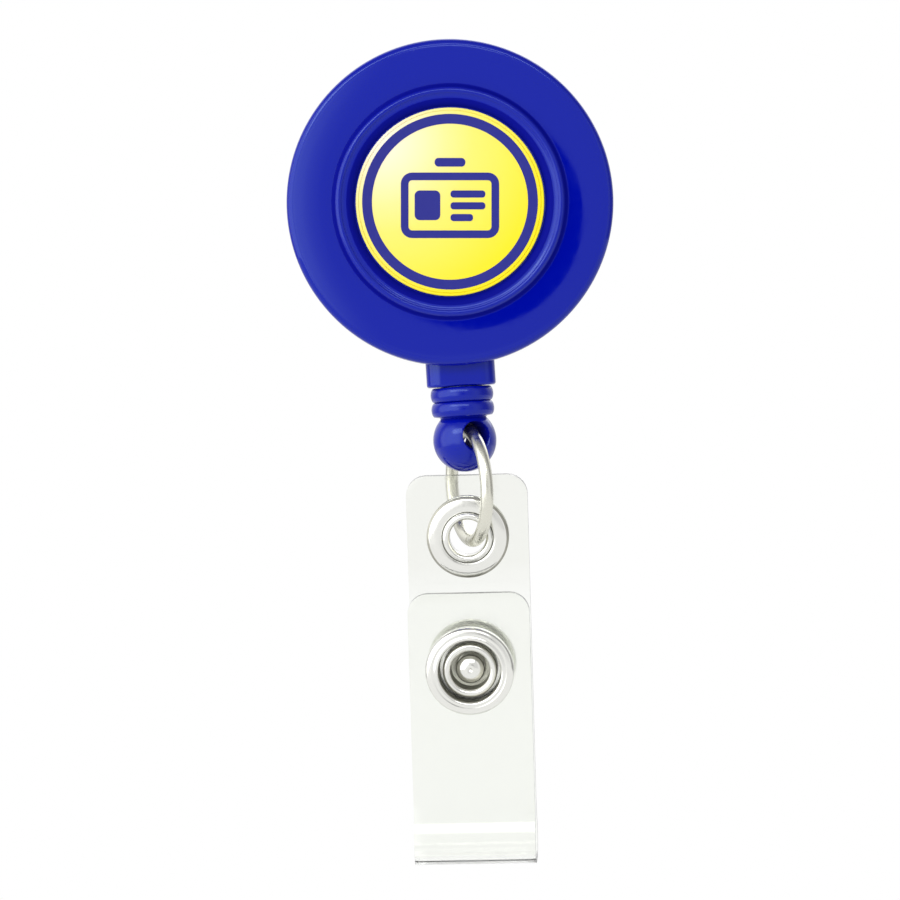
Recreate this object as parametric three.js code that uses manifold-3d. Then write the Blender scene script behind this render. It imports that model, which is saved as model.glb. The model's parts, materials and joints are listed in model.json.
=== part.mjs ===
// Retractable badge reel: a round two-part case with a sprung cord spool, a cord-end plug with a
// jump ring, a clear snap strap for the badge, and a swivelling spring clip on the back.
// Millimetres, +X right, +Y from front to back, +Z up. The origin is the bite of the clip's jaws,
// where a pocket edge holds the reel, and everything else hangs from there.
import * as THREE from "three";
import { mergeVertices } from "three/addons/utils/BufferGeometryUtils.js";
import Module from "manifold-3d";

const wasm = await Module();
wasm.setup();

// ---- Driving dimensions. Depth is measured along +Y from the front plane of the case. ----

// Clearances
const GAP = 0.15; // between clenched or nested pieces
const RUN = 0.2; // radial running clearance of a turning piece
const AXIAL = 0.35; // end float of the spool

// Case
const CASE_R = 16; // outer radius of the front cover
const CASE_DEPTH = 9; // front plane to back face
const COVER_WALL = 1.2;
const COVER_SKIRT = 4.6; // depth that the cover's skirt reaches
const EDGE_DROP = 1.25; // how far the cover's outer edge lies behind the front plane
const SHELL_WALL = 1.1;
const SHELL_RIM = 2.75; // depth of the back shell's rim, inside the cover
const SHELL_EDGE_R = 1.4; // rounding of the back edge
const LABEL_R = 9.2;
const LABEL_T = 0.3;
const LABEL_SEAT = 1.05; // depth of the seat that the label lies on
const LIP_W = 1.35; // width of the raised lip round the label recess

// Spool, arbor and mainspring
const ARBOR_R = 3.2;
const ARBOR_TIP_R = 2.7;
const ARBOR_BORE_R = 1.95;
const SLOT_W = 0.9; // slot that holds the mainspring's inner end
const SPOOL_GAP = 0.6; // spool flange to shell wall
const FLANGE_T = 0.7;
const WEB_T = 0.9;
const SPRING_ROOM_R = 8.4; // radius of the mainspring's chamber in the spool
const DRUM_WALL = 0.8;
const SPRING_T = 0.2;
const SPRING_TURNS = 9;
const SPRING_SIDE = 0.3; // mainspring edge to the spool's web and to the chamber's mouth

// Cord
const CORD_D = 0.8;
const CORD_LENGTH = 860;

// Neck that the cord leaves by
const NECK_W = 6.8;
const NECK_DEPTH = 5;
const NECK_DROP = 2.2; // how far it stands out below the cover's edge
const NECK_CORNER = 1.5;
const NECK_BORE_R = 1.1;
const SOCKET_R = 2.3; // counterbore that the plug's spigot parks in
const SOCKET_DEEP = 1.5;

// Cord-end plug
const SPIGOT_R = 2;
const SPIGOT_L = 1.2;
const RIB_R = 3.12;
const RIB_H = 1.3;
const RIB_GROOVE_R = 2.75;
const RIBS = 2;
const THROAT_R = 2.25;
const THROAT_H = 0.2;
const BALL_R = 3.12;
const HOLE_R = 1.35;
const HOLE_RAISE = 0.45; // the cross hole's height above the ball's centre
const HOLE_CHAMFER = 0.35;
const KNOT_R = 0.85;
const PLUG_TURN = 25; // degrees that the cross hole is turned from straight ahead

// Jump ring
const WIRE_R = 0.63;
const RING_LEAST_R = 5.42; // radius of the wire's centreline, unless the ball needs a larger ring
const RING_SLIT = 0.16;
const RING_TURN = 18; // degrees that the ring's plane is turned from straight ahead
const RING_SHIFT = 0.15; // the ring's centre to the right of the cord's line
const RING_LIFT = 0.12; // the ring's wire clear of the floor of the cross hole

// Strap
const STRAP_W = 12;
const STRAP_T = 0.7;
const STRAP_CORNER = 2;
const STRAP_CLEAR = 0.24; // the strap's top edge below the ball
const STRAP_DROP = 32.5; // eyelet centre to the bottom of the fold
const FLAP_TOP = 5.1; // eyelet centre down to the flap's top edge
const SNAP_DROP = 12.7; // eyelet centre down to the snap's axis
const LAYER_GAP = 2.6; // between the two layers at the snap
const LOOP_SWELL = 0.85; // how far each side of the fold bulges past the flat layers
const LOOP_H = 8; // height over which the fold bulges
const HINGE_GAP = 0.6; // between the two halves of the fold, which meet at its bottom
const STRAP_LEAN = 8; // degrees that the strap's foot hangs back
const STRAP_YAW = -3.5;
const STRAP_ROLL = 2.3;
const STRAP_SHIFT = -0.28; // the eyelet's centre to the left of the cord's line
const WIRE_LOW = 0.42; // the ring's wire below the eyelet's centre

// Eyelet
const EYELET_R = 4.07;
const EYELET_HOLE_R = 1.82;
const EYELET_BARREL = 0.55;
const EYELET_ROLL_R = 2.5;
const EYELET_SHEET = 0.4;

// Snap fastener
const SNAP_R = 4.4;
const SNAP_RING_HOLE = 3.05;
const SNAP_RING_H = 1.35;
const TUBE_R = 2.7;
const TUBE_BORE_R = 1.93;
const TUBE_PROUD = 0.75;
const SOCKET_FLANGE_R = 3.9;
const STUD_R = 1.42;
const STUD_FLANGE_R = 3.5;
const SNAP_SHEET = 0.45;
const POST_R = 0.8;

// Spring clip
const CLIP_SHEET = 0.6;
const CLIP_STANDOFF = 0.75; // case back to the clip's base plate
const CLIP_W = 10;
const CLIP_MOUTH = 11.4; // swivel axis down to the jaws' bite
const CLIP_TAIL = 8; // swivel axis up to the base plate's end
const PIN_UP = 4.2; // swivel axis up to the jaw's pin
const PIN_OUT = 3; // base plate's outer face to the pin's axis
const PIN_R = 0.85;
const PIN_HEAD_R = 1.35;
const JAW_LIP = 0.7; // height of the base jaw's toothed lip
const TEETH = 5;
const THUMB_REACH = 12.4; // swivel axis up to the end of the thumb pad
const RIVET_R = 1.15;
const RIVET_HEAD_R = 2.4;
const RIVET_INNER_R = 1.75;
const RIVET_HEAD_H = 0.65;
const SPRING_WIRE_R = 0.35;
const SPRING_COIL_R = 1.6;
const SPRING_COILS = 3;

// ---- Places worked out from those ----

const BACK_R = CASE_R - COVER_WALL - GAP;
const COVER_FLOOR = LABEL_SEAT + COVER_WALL; // inner face of the cover
const SHELL_FLOOR = CASE_DEPTH - SHELL_WALL; // inner face of the shell's back wall
const SPOOL_R = BACK_R - SHELL_WALL - SPOOL_GAP;
const SPOOL_FRONT = COVER_FLOOR + AXIAL;
const SPOOL_BACK = SHELL_FLOOR - AXIAL;
const DRUM_R = SPRING_ROOM_R + DRUM_WALL;
const GROOVE_W = SPOOL_BACK - SPOOL_FRONT - 2 * FLANGE_T;
const WOUND_W = GROOVE_W - GAP;
// The wound cord fills a square of one diameter for each turn.
const WOUND_R = Math.sqrt(DRUM_R ** 2 + (CORD_LENGTH * CORD_D ** 2) / (Math.PI * WOUND_W));
const CORD_DEPTH = (SPOOL_FRONT + SPOOL_BACK) / 2;

const NECK_FOOT = -(CASE_R + NECK_DROP);
const RIB_TOP = NECK_FOOT - GAP;
const THROAT_TOP = RIB_TOP - RIBS * RIB_H;
const THROAT_FOOT = THROAT_TOP - THROAT_H;
const BALL_Z = THROAT_FOOT - Math.sqrt(BALL_R ** 2 - THROAT_R ** 2);
const HOLE_Z = BALL_Z + HOLE_RAISE;
const KNOT_Z = HOLE_Z + HOLE_R + KNOT_R;
// The ring has to curve through the cross hole without touching its roof.
const HOLE_HALF = Math.sqrt(BALL_R ** 2 - (HOLE_R - HOLE_RAISE) ** 2);
const BOW = 2 * (HOLE_R - WIRE_R) - RING_LIFT - 0.1;
const RING_R = Math.max(RING_LEAST_R, WIRE_R + (BOW ** 2 + HOLE_HALF ** 2) / (2 * BOW));
// The lowest it could hang is with its top resting on the two edges of the hole's floor.
const RING_LOW = HOLE_Z - HOLE_R - Math.sqrt((RING_R - WIRE_R) ** 2 - HOLE_HALF ** 2);
const RING_Z = RING_LOW + RING_LIFT;

const LEAN = THREE.MathUtils.degToRad(STRAP_LEAN);
const EYELET_DROP = RING_R - WIRE_LOW; // ring's centre down to the eyelet's centre
const STRAP_TOP = EYELET_DROP + (BALL_Z - BALL_R - RING_Z - STRAP_CLEAR) / Math.cos(LEAN);

const FLAP_Y = -(LAYER_GAP + STRAP_T); // mid plane of the flap, in the strap's own frame
const LOOP_R = (LAYER_GAP + STRAP_T) / 2 + LOOP_SWELL;

const PLATE_IN = CASE_DEPTH + CLIP_STANDOFF;
const PLATE_OUT = PLATE_IN + CLIP_SHEET;
const PIN_DEPTH = PLATE_OUT + PIN_OUT;
const BITE_DEPTH = PLATE_OUT + JAW_LIP;

// ---- Helpers ----

const rad = THREE.MathUtils.degToRad;
const v2 = (x, y) => new THREE.Vector2(x, y);
const v3 = (x, y, z) => new THREE.Vector3(x, y, z);

// A closed geometry as a manifold-3d solid.
function solid(geometry) {
  const loose = geometry.index ? geometry.toNonIndexed() : geometry.clone();
  loose.deleteAttribute("normal");
  loose.deleteAttribute("uv");
  const merged = mergeVertices(loose, 1e-4);
  const all = merged.index.array;
  const kept = [];
  for (let i = 0; i < all.length; i += 3) {
    const [a, b, c] = [all[i], all[i + 1], all[i + 2]];
    if (a !== b && b !== c && c !== a) kept.push(a, b, c);
  }
  return new wasm.Manifold(
    new wasm.Mesh({
      numProp: 3,
      vertProperties: merged.attributes.position.array,
      triVerts: new Uint32Array(kept),
    }),
  );
}

function geometryOf(body) {
  const mesh = body.getMesh();
  return new THREE.BufferGeometry()
    .setAttribute("position", new THREE.BufferAttribute(mesh.vertProperties, 3))
    .setIndex(new THREE.BufferAttribute(mesh.triVerts, 1));
}

const join = (first, ...others) => others.reduce((sum, next) => sum.add(next), first);
const cut = (first, ...others) => others.reduce((left, next) => left.subtract(next), first);

// Points of an arc in a profile, ends included. Angles are in degrees.
function arc(u, v, r, from, to, steps) {
  return Array.from({ length: steps + 1 }, (_, i) => {
    const a = rad(from + ((to - from) * i) / steps);
    return [u + r * Math.cos(a), v + r * Math.sin(a)];
  });
}

// A profile of [radius, height] turned round the Y axis. It starts and ends on the axis, or it is
// a closed ring.
function turned(profile, segments = 48) {
  const closed = profile[0][0] > 0 || profile[profile.length - 1][0] > 0;
  const points = profile.map(([r, y]) => v2(r, y));
  const area = points.reduce((sum, p, i) => sum + p.cross(points[(i + 1) % points.length]), 0);
  if (area < 0) points.reverse();
  if (closed) points.push(points[0].clone());
  return new THREE.LatheGeometry(points, segments);
}

// The same profile turned round the Z axis, with height along +Z.
const turnedZ = (profile, segments) => turned(profile, segments).rotateX(Math.PI / 2);
// And round the X axis, with height along +X.
const turnedX = (profile, segments) => turned(profile, segments).rotateZ(-Math.PI / 2);

const disc = (r, y0, y1) => [[0, y0], [r, y0], [r, y1], [0, y1]];
const tube = (r0, r1, y0, y1) => [[r0, y0], [r1, y0], [r1, y1], [r0, y1]];

// An outline in X and Z, from depth y0 to y1.
function prismY(shape, y0, y1) {
  return new THREE.ExtrudeGeometry(shape, { depth: y1 - y0, bevelEnabled: false, curveSegments: 6 })
    .rotateX(Math.PI / 2)
    .translate(0, y1, 0);
}

// An outline in Y and Z, from x0 to x1.
function prismX(shape, x0, x1) {
  return new THREE.ExtrudeGeometry(shape, { depth: x1 - x0, bevelEnabled: false, curveSegments: 6 })
    .applyMatrix4(new THREE.Matrix4().makeBasis(v3(0, 1, 0), v3(0, 0, 1), v3(1, 0, 0)))
    .translate(x0, 0, 0);
}

// An outline in X and Y, from z0 to z1.
function prismZ(shape, z0, z1) {
  return new THREE.ExtrudeGeometry(shape, { depth: z1 - z0, bevelEnabled: false, curveSegments: 6 })
    .translate(0, 0, z0);
}

const box = (x0, x1, y0, y1, z0, z1) =>
  new THREE.BoxGeometry(x1 - x0, y1 - y0, z1 - z0)
    .translate((x0 + x1) / 2, (y0 + y1) / 2, (z0 + z1) / 2);

const outline = (points) => new THREE.Shape(points.map(([u, v]) => v2(u, v)));

// A rectangle with a rounding of its own at each end: lowR at the v0 end and highR at the v1 end.
function rounded(u0, u1, v0, v1, lowR, highR) {
  const steps = 5;
  const corner = (u, v, r, from) => (r > 0 ? arc(u, v, r, from, from + 90, steps) : [[u, v]]);
  return outline([
    ...corner(u0 + lowR, v0 + lowR, lowR, 180),
    ...corner(u1 - lowR, v0 + lowR, lowR, 270),
    ...corner(u1 - highR, v1 - highR, highR, 0),
    ...corner(u0 + highR, v1 - highR, highR, 90),
  ]);
}

// A strip of sheet: the outline of a line of [u, v] points given a thickness.
function strip(line, thickness) {
  const points = line.map(([u, v]) => v2(u, v));
  const side = points.map((p, i) => {
    const before = points[Math.max(i - 1, 0)];
    const after = points[Math.min(i + 1, points.length - 1)];
    const along = after.clone().sub(before).normalize();
    return v2(-along.y, along.x).multiplyScalar(thickness / 2);
  });
  const left = points.map((p, i) => p.clone().add(side[i]));
  const right = points.map((p, i) => p.clone().sub(side[i]));
  return new THREE.Shape([...left, ...right.reverse()]);
}

// A round bar along a curve.
function bar(curve, radius, steps, sides) {
  const section = outline(arc(0, 0, radius, 0, 360 - 360 / sides, sides - 1));
  return new THREE.ExtrudeGeometry(section, { extrudePath: curve, steps, bevelEnabled: false });
}

const FINISHES = {
  plastic: { color: 0x0a1496, roughness: 0.18, metalness: 0 },
  label: { color: 0xfbf27a, roughness: 0.4, metalness: 0 },
  nylon: { color: 0x101014, roughness: 0.7, metalness: 0 },
  spool: { color: 0xe6e4dc, roughness: 0.4, metalness: 0 },
  vinyl: { color: 0xf3f4ef, roughness: 0.12, metalness: 0, transparent: true, opacity: 0.35 },
  nickel: { color: 0xc9c8be, roughness: 0.2, metalness: 1 },
  springSteel: { color: 0x8a8d92, roughness: 0.3, metalness: 1 },
};

function piece(name, finish, geometry) {
  geometry.computeVertexNormals();
  const mesh = new THREE.Mesh(geometry, new THREE.MeshStandardMaterial(FINISHES[finish]));
  mesh.name = name;
  return mesh;
}

// ---- Case. The frame of every piece from here on is the reel's: its axis at x = z = 0. ----

function frontCover() {
  const seatR = LABEL_R + GAP;
  const lipOut = seatR + LIP_W;
  const valleyR = lipOut + 0.75;
  const crownR = (valleyR + CASE_R) / 2;
  const edge = COVER_WALL * 0.65;
  const skin = turned(
    [
      [0, LABEL_SEAT],
      [seatR, LABEL_SEAT],
      [seatR, 0.5],
      [seatR + 0.35, 0.42],
      ...arc(lipOut - 0.5, 0.5, 0.5, 250, 340, 4),
      [valleyR - 0.15, 0.72],
      [valleyR + 0.5, 0.74],
      [crownR, 0.7],
      [CASE_R - 1.6, 0.88],
      ...arc(CASE_R - edge, EDGE_DROP + edge * 0.85, edge, 290, 360, 4),
      [CASE_R, COVER_SKIRT],
      [BACK_R + GAP, COVER_SKIRT],
      [BACK_R + GAP, EDGE_DROP + COVER_WALL],
      [valleyR, COVER_FLOOR - 0.1],
      [seatR, COVER_FLOOR],
      [0, COVER_FLOOR],
    ],
    60,
  );
  const half = NECK_W / 2 + GAP;
  const notch = box(-half, half, neckFront() - GAP, COVER_SKIRT + 1, -CASE_R - 1, -BACK_R + 1);
  return geometryOf(cut(solid(skin), solid(notch)));
}

const neckFront = () => CORD_DEPTH - NECK_DEPTH / 2;
const neckBack = () => CORD_DEPTH + NECK_DEPTH / 2;

function backShell() {
  const inner = BACK_R - SHELL_WALL;
  const cup = solid(
    turned(
      [
        [0, CASE_DEPTH],
        ...arc(BACK_R - SHELL_EDGE_R, CASE_DEPTH - SHELL_EDGE_R, SHELL_EDGE_R, 90, 0, 5),
        [BACK_R, SHELL_RIM],
        [inner, SHELL_RIM],
        [inner, SHELL_FLOOR - 0.4],
        [inner - 0.4, SHELL_FLOOR],
        [0, SHELL_FLOOR],
      ],
      60,
    ),
  );
  // The neck runs in to the shell's inner face, so its root is buried in the wall.
  const neckShape = rounded(-NECK_W / 2, NECK_W / 2, neckFront(), neckBack(), NECK_CORNER, NECK_CORNER);
  const neck = solid(prismZ(neckShape, NECK_FOOT, -inner + 0.1));
  const room = solid(turned(disc(inner, SHELL_RIM - 1, SHELL_FLOOR - 0.4), 60));
  const bore = solid(turnedZ(disc(NECK_BORE_R, NECK_FOOT - 1, -inner + 2)));
  const mouthTop = -inner + 0.2;
  const mouth = solid(
    turnedZ([
      [0, mouthTop - 1.4],
      [NECK_BORE_R, mouthTop - 1.4],
      [NECK_BORE_R + 0.9, mouthTop],
      [0, mouthTop],
    ]),
  ).translate(0, CORD_DEPTH, 0);
  const park = solid(turnedZ(disc(SOCKET_R, NECK_FOOT - 1, NECK_FOOT + SOCKET_DEEP)));
  const arbor = solid(
    turned([
      [0, SHELL_FLOOR + 0.3],
      [ARBOR_R, SHELL_FLOOR + 0.3],
      [ARBOR_R, SPOOL_FRONT + WEB_T + AXIAL],
      [ARBOR_TIP_R, SPOOL_FRONT + WEB_T + AXIAL],
      [ARBOR_TIP_R, COVER_FLOOR + GAP],
      [0, COVER_FLOOR + GAP],
    ]),
  );
  const slotTop = SPOOL_FRONT + WEB_T + AXIAL;
  const slot = solid(
    box(-SLOT_W / 2, SLOT_W / 2, slotTop - 2, SHELL_FLOOR - AXIAL, 0, ARBOR_R + 1),
  );
  const rivetRoom = solid(turned(disc(ARBOR_BORE_R, COVER_FLOOR - 1, SHELL_FLOOR - 0.2)));
  const rivetHole = solid(turned(disc(RIVET_R + RUN, COVER_FLOOR, CASE_DEPTH + 1)));
  const housing = cut(
    join(cup, neck.subtract(room)),
    bore.translate(0, CORD_DEPTH, 0),
    park.translate(0, CORD_DEPTH, 0),
    mouth,
  );
  return geometryOf(cut(join(housing, arbor), slot, rivetRoom, rivetHole));
}

const labelDisc = () => turned(disc(LABEL_R, LABEL_SEAT - LABEL_T, LABEL_SEAT), 60);

// ---- Spool, cord and mainspring ----

function spool() {
  const body = turned([
    [ARBOR_TIP_R + RUN, SPOOL_FRONT],
    [SPOOL_R, SPOOL_FRONT],
    [SPOOL_R, SPOOL_FRONT + FLANGE_T],
    [DRUM_R, SPOOL_FRONT + FLANGE_T],
    [DRUM_R, SPOOL_BACK - FLANGE_T],
    [SPOOL_R, SPOOL_BACK - FLANGE_T],
    [SPOOL_R, SPOOL_BACK],
    [SPRING_ROOM_R, SPOOL_BACK],
    [SPRING_ROOM_R, SPOOL_FRONT + WEB_T],
    [ARBOR_TIP_R + RUN, SPOOL_FRONT + WEB_T],
  ]);
  // The mainspring's outer end hooks in this notch.
  const notch = box(
    -SLOT_W, SLOT_W,
    SPOOL_FRONT + WEB_T, SPOOL_BACK + 1,
    SPRING_ROOM_R - 0.5, SPRING_ROOM_R + DRUM_WALL * 0.65,
  );
  return geometryOf(cut(solid(body), solid(notch)));
}

function woundCord() {
  const half = WOUND_W / 2;
  const round = CORD_D / 2;
  const inner = DRUM_R + GAP;
  return turned([
    [inner, CORD_DEPTH - half + GAP],
    [WOUND_R - round, CORD_DEPTH - half + GAP],
    [WOUND_R, CORD_DEPTH - half + GAP + round],
    [WOUND_R, CORD_DEPTH + half - GAP - round],
    [WOUND_R - round, CORD_DEPTH + half - GAP],
    [inner, CORD_DEPTH + half - GAP],
  ]);
}

// The cord leaves the winding on a tangent and turns down into the neck's mouth.
const FEED_END = -(BACK_R - SHELL_WALL) - 0.6;

function cordFeed() {
  const turnZ = -(BACK_R - SHELL_WALL) + 1.1;
  const runR = WOUND_R + CORD_D / 2 + GAP;
  const angle = Math.acos(Math.min(1, runR / -turnZ));
  const from = v3(runR * Math.sin(angle), CORD_DEPTH, -runR * Math.cos(angle));
  const corner = v3(0, CORD_DEPTH, turnZ);
  const bend = 1.3;
  const bendStart = corner.clone().lerp(from, bend / corner.distanceTo(from));
  const bendEnd = v3(0, CORD_DEPTH, turnZ - bend);
  const path = new THREE.CurvePath();
  path.add(new THREE.LineCurve3(from, bendStart));
  path.add(new THREE.QuadraticBezierCurve3(bendStart, corner, bendEnd));
  path.add(new THREE.LineCurve3(bendEnd, v3(0, CORD_DEPTH, FEED_END)));
  return bar(path, CORD_D / 2, 20, 10);
}

// The straight run through the neck to the knot, which is the stretch that grows as it pulls out.
const cordLead = () =>
  turnedZ(disc(CORD_D / 2, KNOT_Z + KNOT_R + GAP, FEED_END - 0.05), 12).translate(0, CORD_DEPTH, 0);

function mainspring() {
  const first = ARBOR_R + 0.45;
  const last = SPRING_ROOM_R - 0.3;
  const perTurn = 26;
  const count = SPRING_TURNS * perTurn;
  const spiral = Array.from({ length: count + 1 }, (_, i) => {
    const a = Math.PI / 2 + (i / perTurn) * 2 * Math.PI;
    const r = first + ((last - first) * i) / count;
    return [r * Math.cos(a), r * Math.sin(a)];
  });
  const tang = [[0, ARBOR_BORE_R + 0.3], [0, ARBOR_R - 0.2]];
  const hook = [[-0.35, last + 0.05], [-0.5, SPRING_ROOM_R + 0.2]];
  const line = [...tang, [-0.12, ARBOR_R + 0.15], ...spiral.slice(1, -1), ...hook];
  const front = SPOOL_FRONT + WEB_T + SPRING_SIDE;
  return prismY(strip(line, SPRING_T), front, SPOOL_BACK - SPRING_SIDE);
}

// ---- Cord end: knot, plug and ring. Each is made about the cord's line. ----

const cordKnot = () =>
  new THREE.SphereGeometry(KNOT_R - 0.05, 14, 10).translate(0, CORD_DEPTH, KNOT_Z);

function endPlug() {
  const ribs = [];
  for (let i = 0; i < RIBS; i++) {
    const mid = RIB_TOP - (i + 0.5) * RIB_H;
    const bulge = RIB_R - RIB_GROOVE_R;
    for (const share of [-0.47, -0.3, 0, 0.3, 0.47]) {
      const lift = Math.cos(share * Math.PI);
      ribs.push([RIB_GROOVE_R + bulge * lift, mid - share * RIB_H]);
    }
  }
  const start = Math.asin(THROAT_R / BALL_R);
  const ball = [];
  for (let i = 0; i <= 10; i++) {
    const a = start + ((Math.PI - start) * i) / 10;
    ball.push([i === 10 ? 0 : BALL_R * Math.sin(a), BALL_Z + BALL_R * Math.cos(a)]);
  }
  const body = solid(
    turnedZ(
      [
        [0, RIB_TOP + SPIGOT_L],
        [SPIGOT_R - 0.2, RIB_TOP + SPIGOT_L],
        [SPIGOT_R, RIB_TOP + SPIGOT_L - 0.2],
        [SPIGOT_R, RIB_TOP],
        ...ribs,
        [THROAT_R, THROAT_TOP],
        ...ball,
      ],
      36,
    ),
  );
  const cordHole = solid(turnedZ(disc(CORD_D / 2 + GAP, HOLE_Z, RIB_TOP + SPIGOT_L + 1), 24));
  const knotRoom = solid(turnedZ(disc(KNOT_R + GAP, HOLE_Z, KNOT_Z + KNOT_R + 0.1), 24));
  const flare = HOLE_R + HOLE_CHAMFER;
  const face = HOLE_HALF + 0.05;
  const crossHole = solid(
    turned([
      [0, -face - 1],
      [flare + 1, -face - 1],
      [flare, -face + 0.05],
      [HOLE_R, -face + HOLE_CHAMFER + 0.1],
      [HOLE_R, face - HOLE_CHAMFER - 0.1],
      [flare, face - 0.05],
      [flare + 1, face + 1],
      [0, face + 1],
    ], 36),
  );
  return geometryOf(
    cut(body, cordHole, knotRoom, crossHole.rotate([0, 0, PLUG_TURN]).translate(0, 0, HOLE_Z)),
  );
}

function jumpRing() {
  const torus = new THREE.TorusGeometry(RING_R, WIRE_R, 12, 56).rotateY(Math.PI / 2);
  const slit = box(-2, 2, -RING_SLIT / 2, RING_SLIT / 2, -RING_R - 2, -RING_R + 2);
  return geometryOf(cut(solid(torus), solid(slit)));
}

// ---- Strap. Its own frame has the eyelet's centre as origin, on the back layer's mid plane. ----

// Mid line of the fold in Y and Z, from the back layer round to the front one.
function foldLine() {
  const midY = FLAP_Y / 2;
  const bottom = -STRAP_DROP + STRAP_T / 2;
  const curve = new THREE.CatmullRomCurve3(
    [
      v3(0, 0, bottom + LOOP_H + 2),
      v3(0.02, 0, bottom + LOOP_H),
      v3(LOOP_SWELL * 0.55, 0, bottom + LOOP_H * 0.66),
      v3(LOOP_SWELL * 0.98, 0, bottom + LOOP_H * 0.37),
      v3(midY + LOOP_R * 0.72, 0, bottom + LOOP_R * 0.32),
      v3(midY, 0, bottom),
      v3(midY - LOOP_R * 0.72, 0, bottom + LOOP_R * 0.32),
      v3(FLAP_Y - LOOP_SWELL * 0.98, 0, bottom + LOOP_H * 0.37),
      v3(FLAP_Y - LOOP_SWELL * 0.55, 0, bottom + LOOP_H * 0.66),
      v3(FLAP_Y - 0.02, 0, bottom + LOOP_H),
      v3(FLAP_Y, 0, bottom + LOOP_H + 2),
    ],
    false,
    "centripetal",
  );
  return curve.getSpacedPoints(48).map((p) => [p.x, p.z]);
}

const foldBack = () => foldLine().filter(([y]) => y > (FLAP_Y + HINGE_GAP) / 2);
const foldFront = () => foldLine().filter(([y]) => y < (FLAP_Y - HINGE_GAP) / 2);

function strapBack() {
  const line = [[0, STRAP_TOP], ...foldBack()];
  const band = solid(prismX(strip(line, STRAP_T), -STRAP_W / 2, STRAP_W / 2));
  const shape = rounded(-STRAP_W / 2, STRAP_W / 2, -STRAP_DROP - 1, STRAP_TOP, 0, STRAP_CORNER);
  const trim = solid(prismY(shape, -20, 20));
  const barrelHole = turned(disc(EYELET_HOLE_R + EYELET_BARREL + GAP, -2, 1), 36);
  const postHole = turned(disc(POST_R + GAP, -2, 1), 24).translate(0, 0, -SNAP_DROP);
  return geometryOf(cut(band.intersect(trim), solid(barrelHole), solid(postHole)));
}

function strapFlap() {
  const line = [...foldFront(), [FLAP_Y, -FLAP_TOP]];
  const band = solid(prismX(strip(line, STRAP_T), -STRAP_W / 2, STRAP_W / 2));
  const shape = rounded(-STRAP_W / 2, STRAP_W / 2, -STRAP_DROP - 1, -FLAP_TOP, 0, STRAP_CORNER);
  const trim = solid(prismY(shape, -20, 20));
  const hole = turned(disc(TUBE_R + GAP, -1, 1), 36).translate(0, FLAP_Y, -SNAP_DROP);
  return geometryOf(cut(band.intersect(trim), solid(hole)));
}

const layerFront = -STRAP_T / 2;
const layerBack = STRAP_T / 2;

// Barrel with a flat flange behind the strap and its front end rolled over.
function eyelet() {
  const front = layerFront - GAP - EYELET_SHEET;
  const flange = layerBack + GAP;
  const outer = EYELET_HOLE_R + EYELET_BARREL;
  const roll = (EYELET_ROLL_R - EYELET_HOLE_R) / 2;
  return turned(
    [
      [outer, flange],
      [outer, front],
      ...arc(EYELET_HOLE_R + roll, front - 0.1, roll, 0, -180, 6),
      [EYELET_HOLE_R, flange + EYELET_SHEET * 0.5],
      [EYELET_HOLE_R + 0.3, flange + EYELET_SHEET],
      [EYELET_R - 0.2, flange + EYELET_SHEET],
      [EYELET_R, flange + EYELET_SHEET - 0.15],
      [EYELET_R, flange],
    ],
    36,
  );
}

const eyeletWasher = () => {
  const face = layerFront - GAP;
  return turned(
    [
      [EYELET_ROLL_R + 0.08, face],
      [EYELET_R, face],
      [EYELET_R, face - EYELET_SHEET + 0.12],
      [EYELET_R - 0.15, face - EYELET_SHEET],
      [EYELET_ROLL_R + 0.08, face - EYELET_SHEET - 0.08],
    ],
    36,
  );
};

// Stud: flange on the back layer's front face, and a hollow head that the socket grips.
function snapStud() {
  const foot = layerFront - GAP;
  const top = FLAP_Y - STRAP_T / 2 - 0.35;
  const neck = STUD_R - 0.15;
  return turned(
    [
      [POST_R + GAP, foot],
      [STUD_FLANGE_R, foot],
      [STUD_FLANGE_R, foot - SNAP_SHEET],
      [neck + 0.2, foot - SNAP_SHEET - 0.1],
      [neck, foot - SNAP_SHEET - 0.4],
      [neck, top + 1.2],
      [STUD_R, top + 0.75],
      [STUD_R * 0.92, top + 0.35],
      [STUD_R * 0.6, top + 0.06],
      [0.25, top],
      [0, top + 0.1],
      [0, top + 1],
      [POST_R + GAP, top + 1],
    ],
    32,
  ).translate(0, 0, -SNAP_DROP);
}

// Post: domed cap behind the back layer, with a pin that is clenched inside the stud.
function snapPost() {
  const face = layerBack + GAP;
  return turned(
    [
      [0, FLAP_Y + 1.1],
      [POST_R, FLAP_Y + 1.1],
      [POST_R, face],
      [SNAP_R - 0.1, face],
      [SNAP_R, face + 0.15],
      [SNAP_R - 0.25, face + SNAP_SHEET],
      [SNAP_R * 0.55, face + SNAP_SHEET + 0.4],
      [0, face + SNAP_SHEET + 0.5],
    ],
    36,
  ).translate(0, 0, -SNAP_DROP);
}

// Socket: flange behind the flap, and a tube through it that takes the stud's head.
function snapSocket() {
  const face = FLAP_Y + STRAP_T / 2 + GAP;
  const front = FLAP_Y - STRAP_T / 2 - TUBE_PROUD;
  const round = (TUBE_R - TUBE_BORE_R) / 2;
  return turned(
    [
      [TUBE_R, face],
      [SOCKET_FLANGE_R, face],
      [SOCKET_FLANGE_R, face + 1.1],
      [SOCKET_FLANGE_R - 0.3, face + 1.3],
      [TUBE_BORE_R + 0.3, face + 1.3],
      [TUBE_BORE_R, face + 1],
      ...arc(TUBE_BORE_R + round, front + round, round, 180, 360, 6),
    ],
    36,
  ).translate(0, 0, -SNAP_DROP);
}

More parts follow.
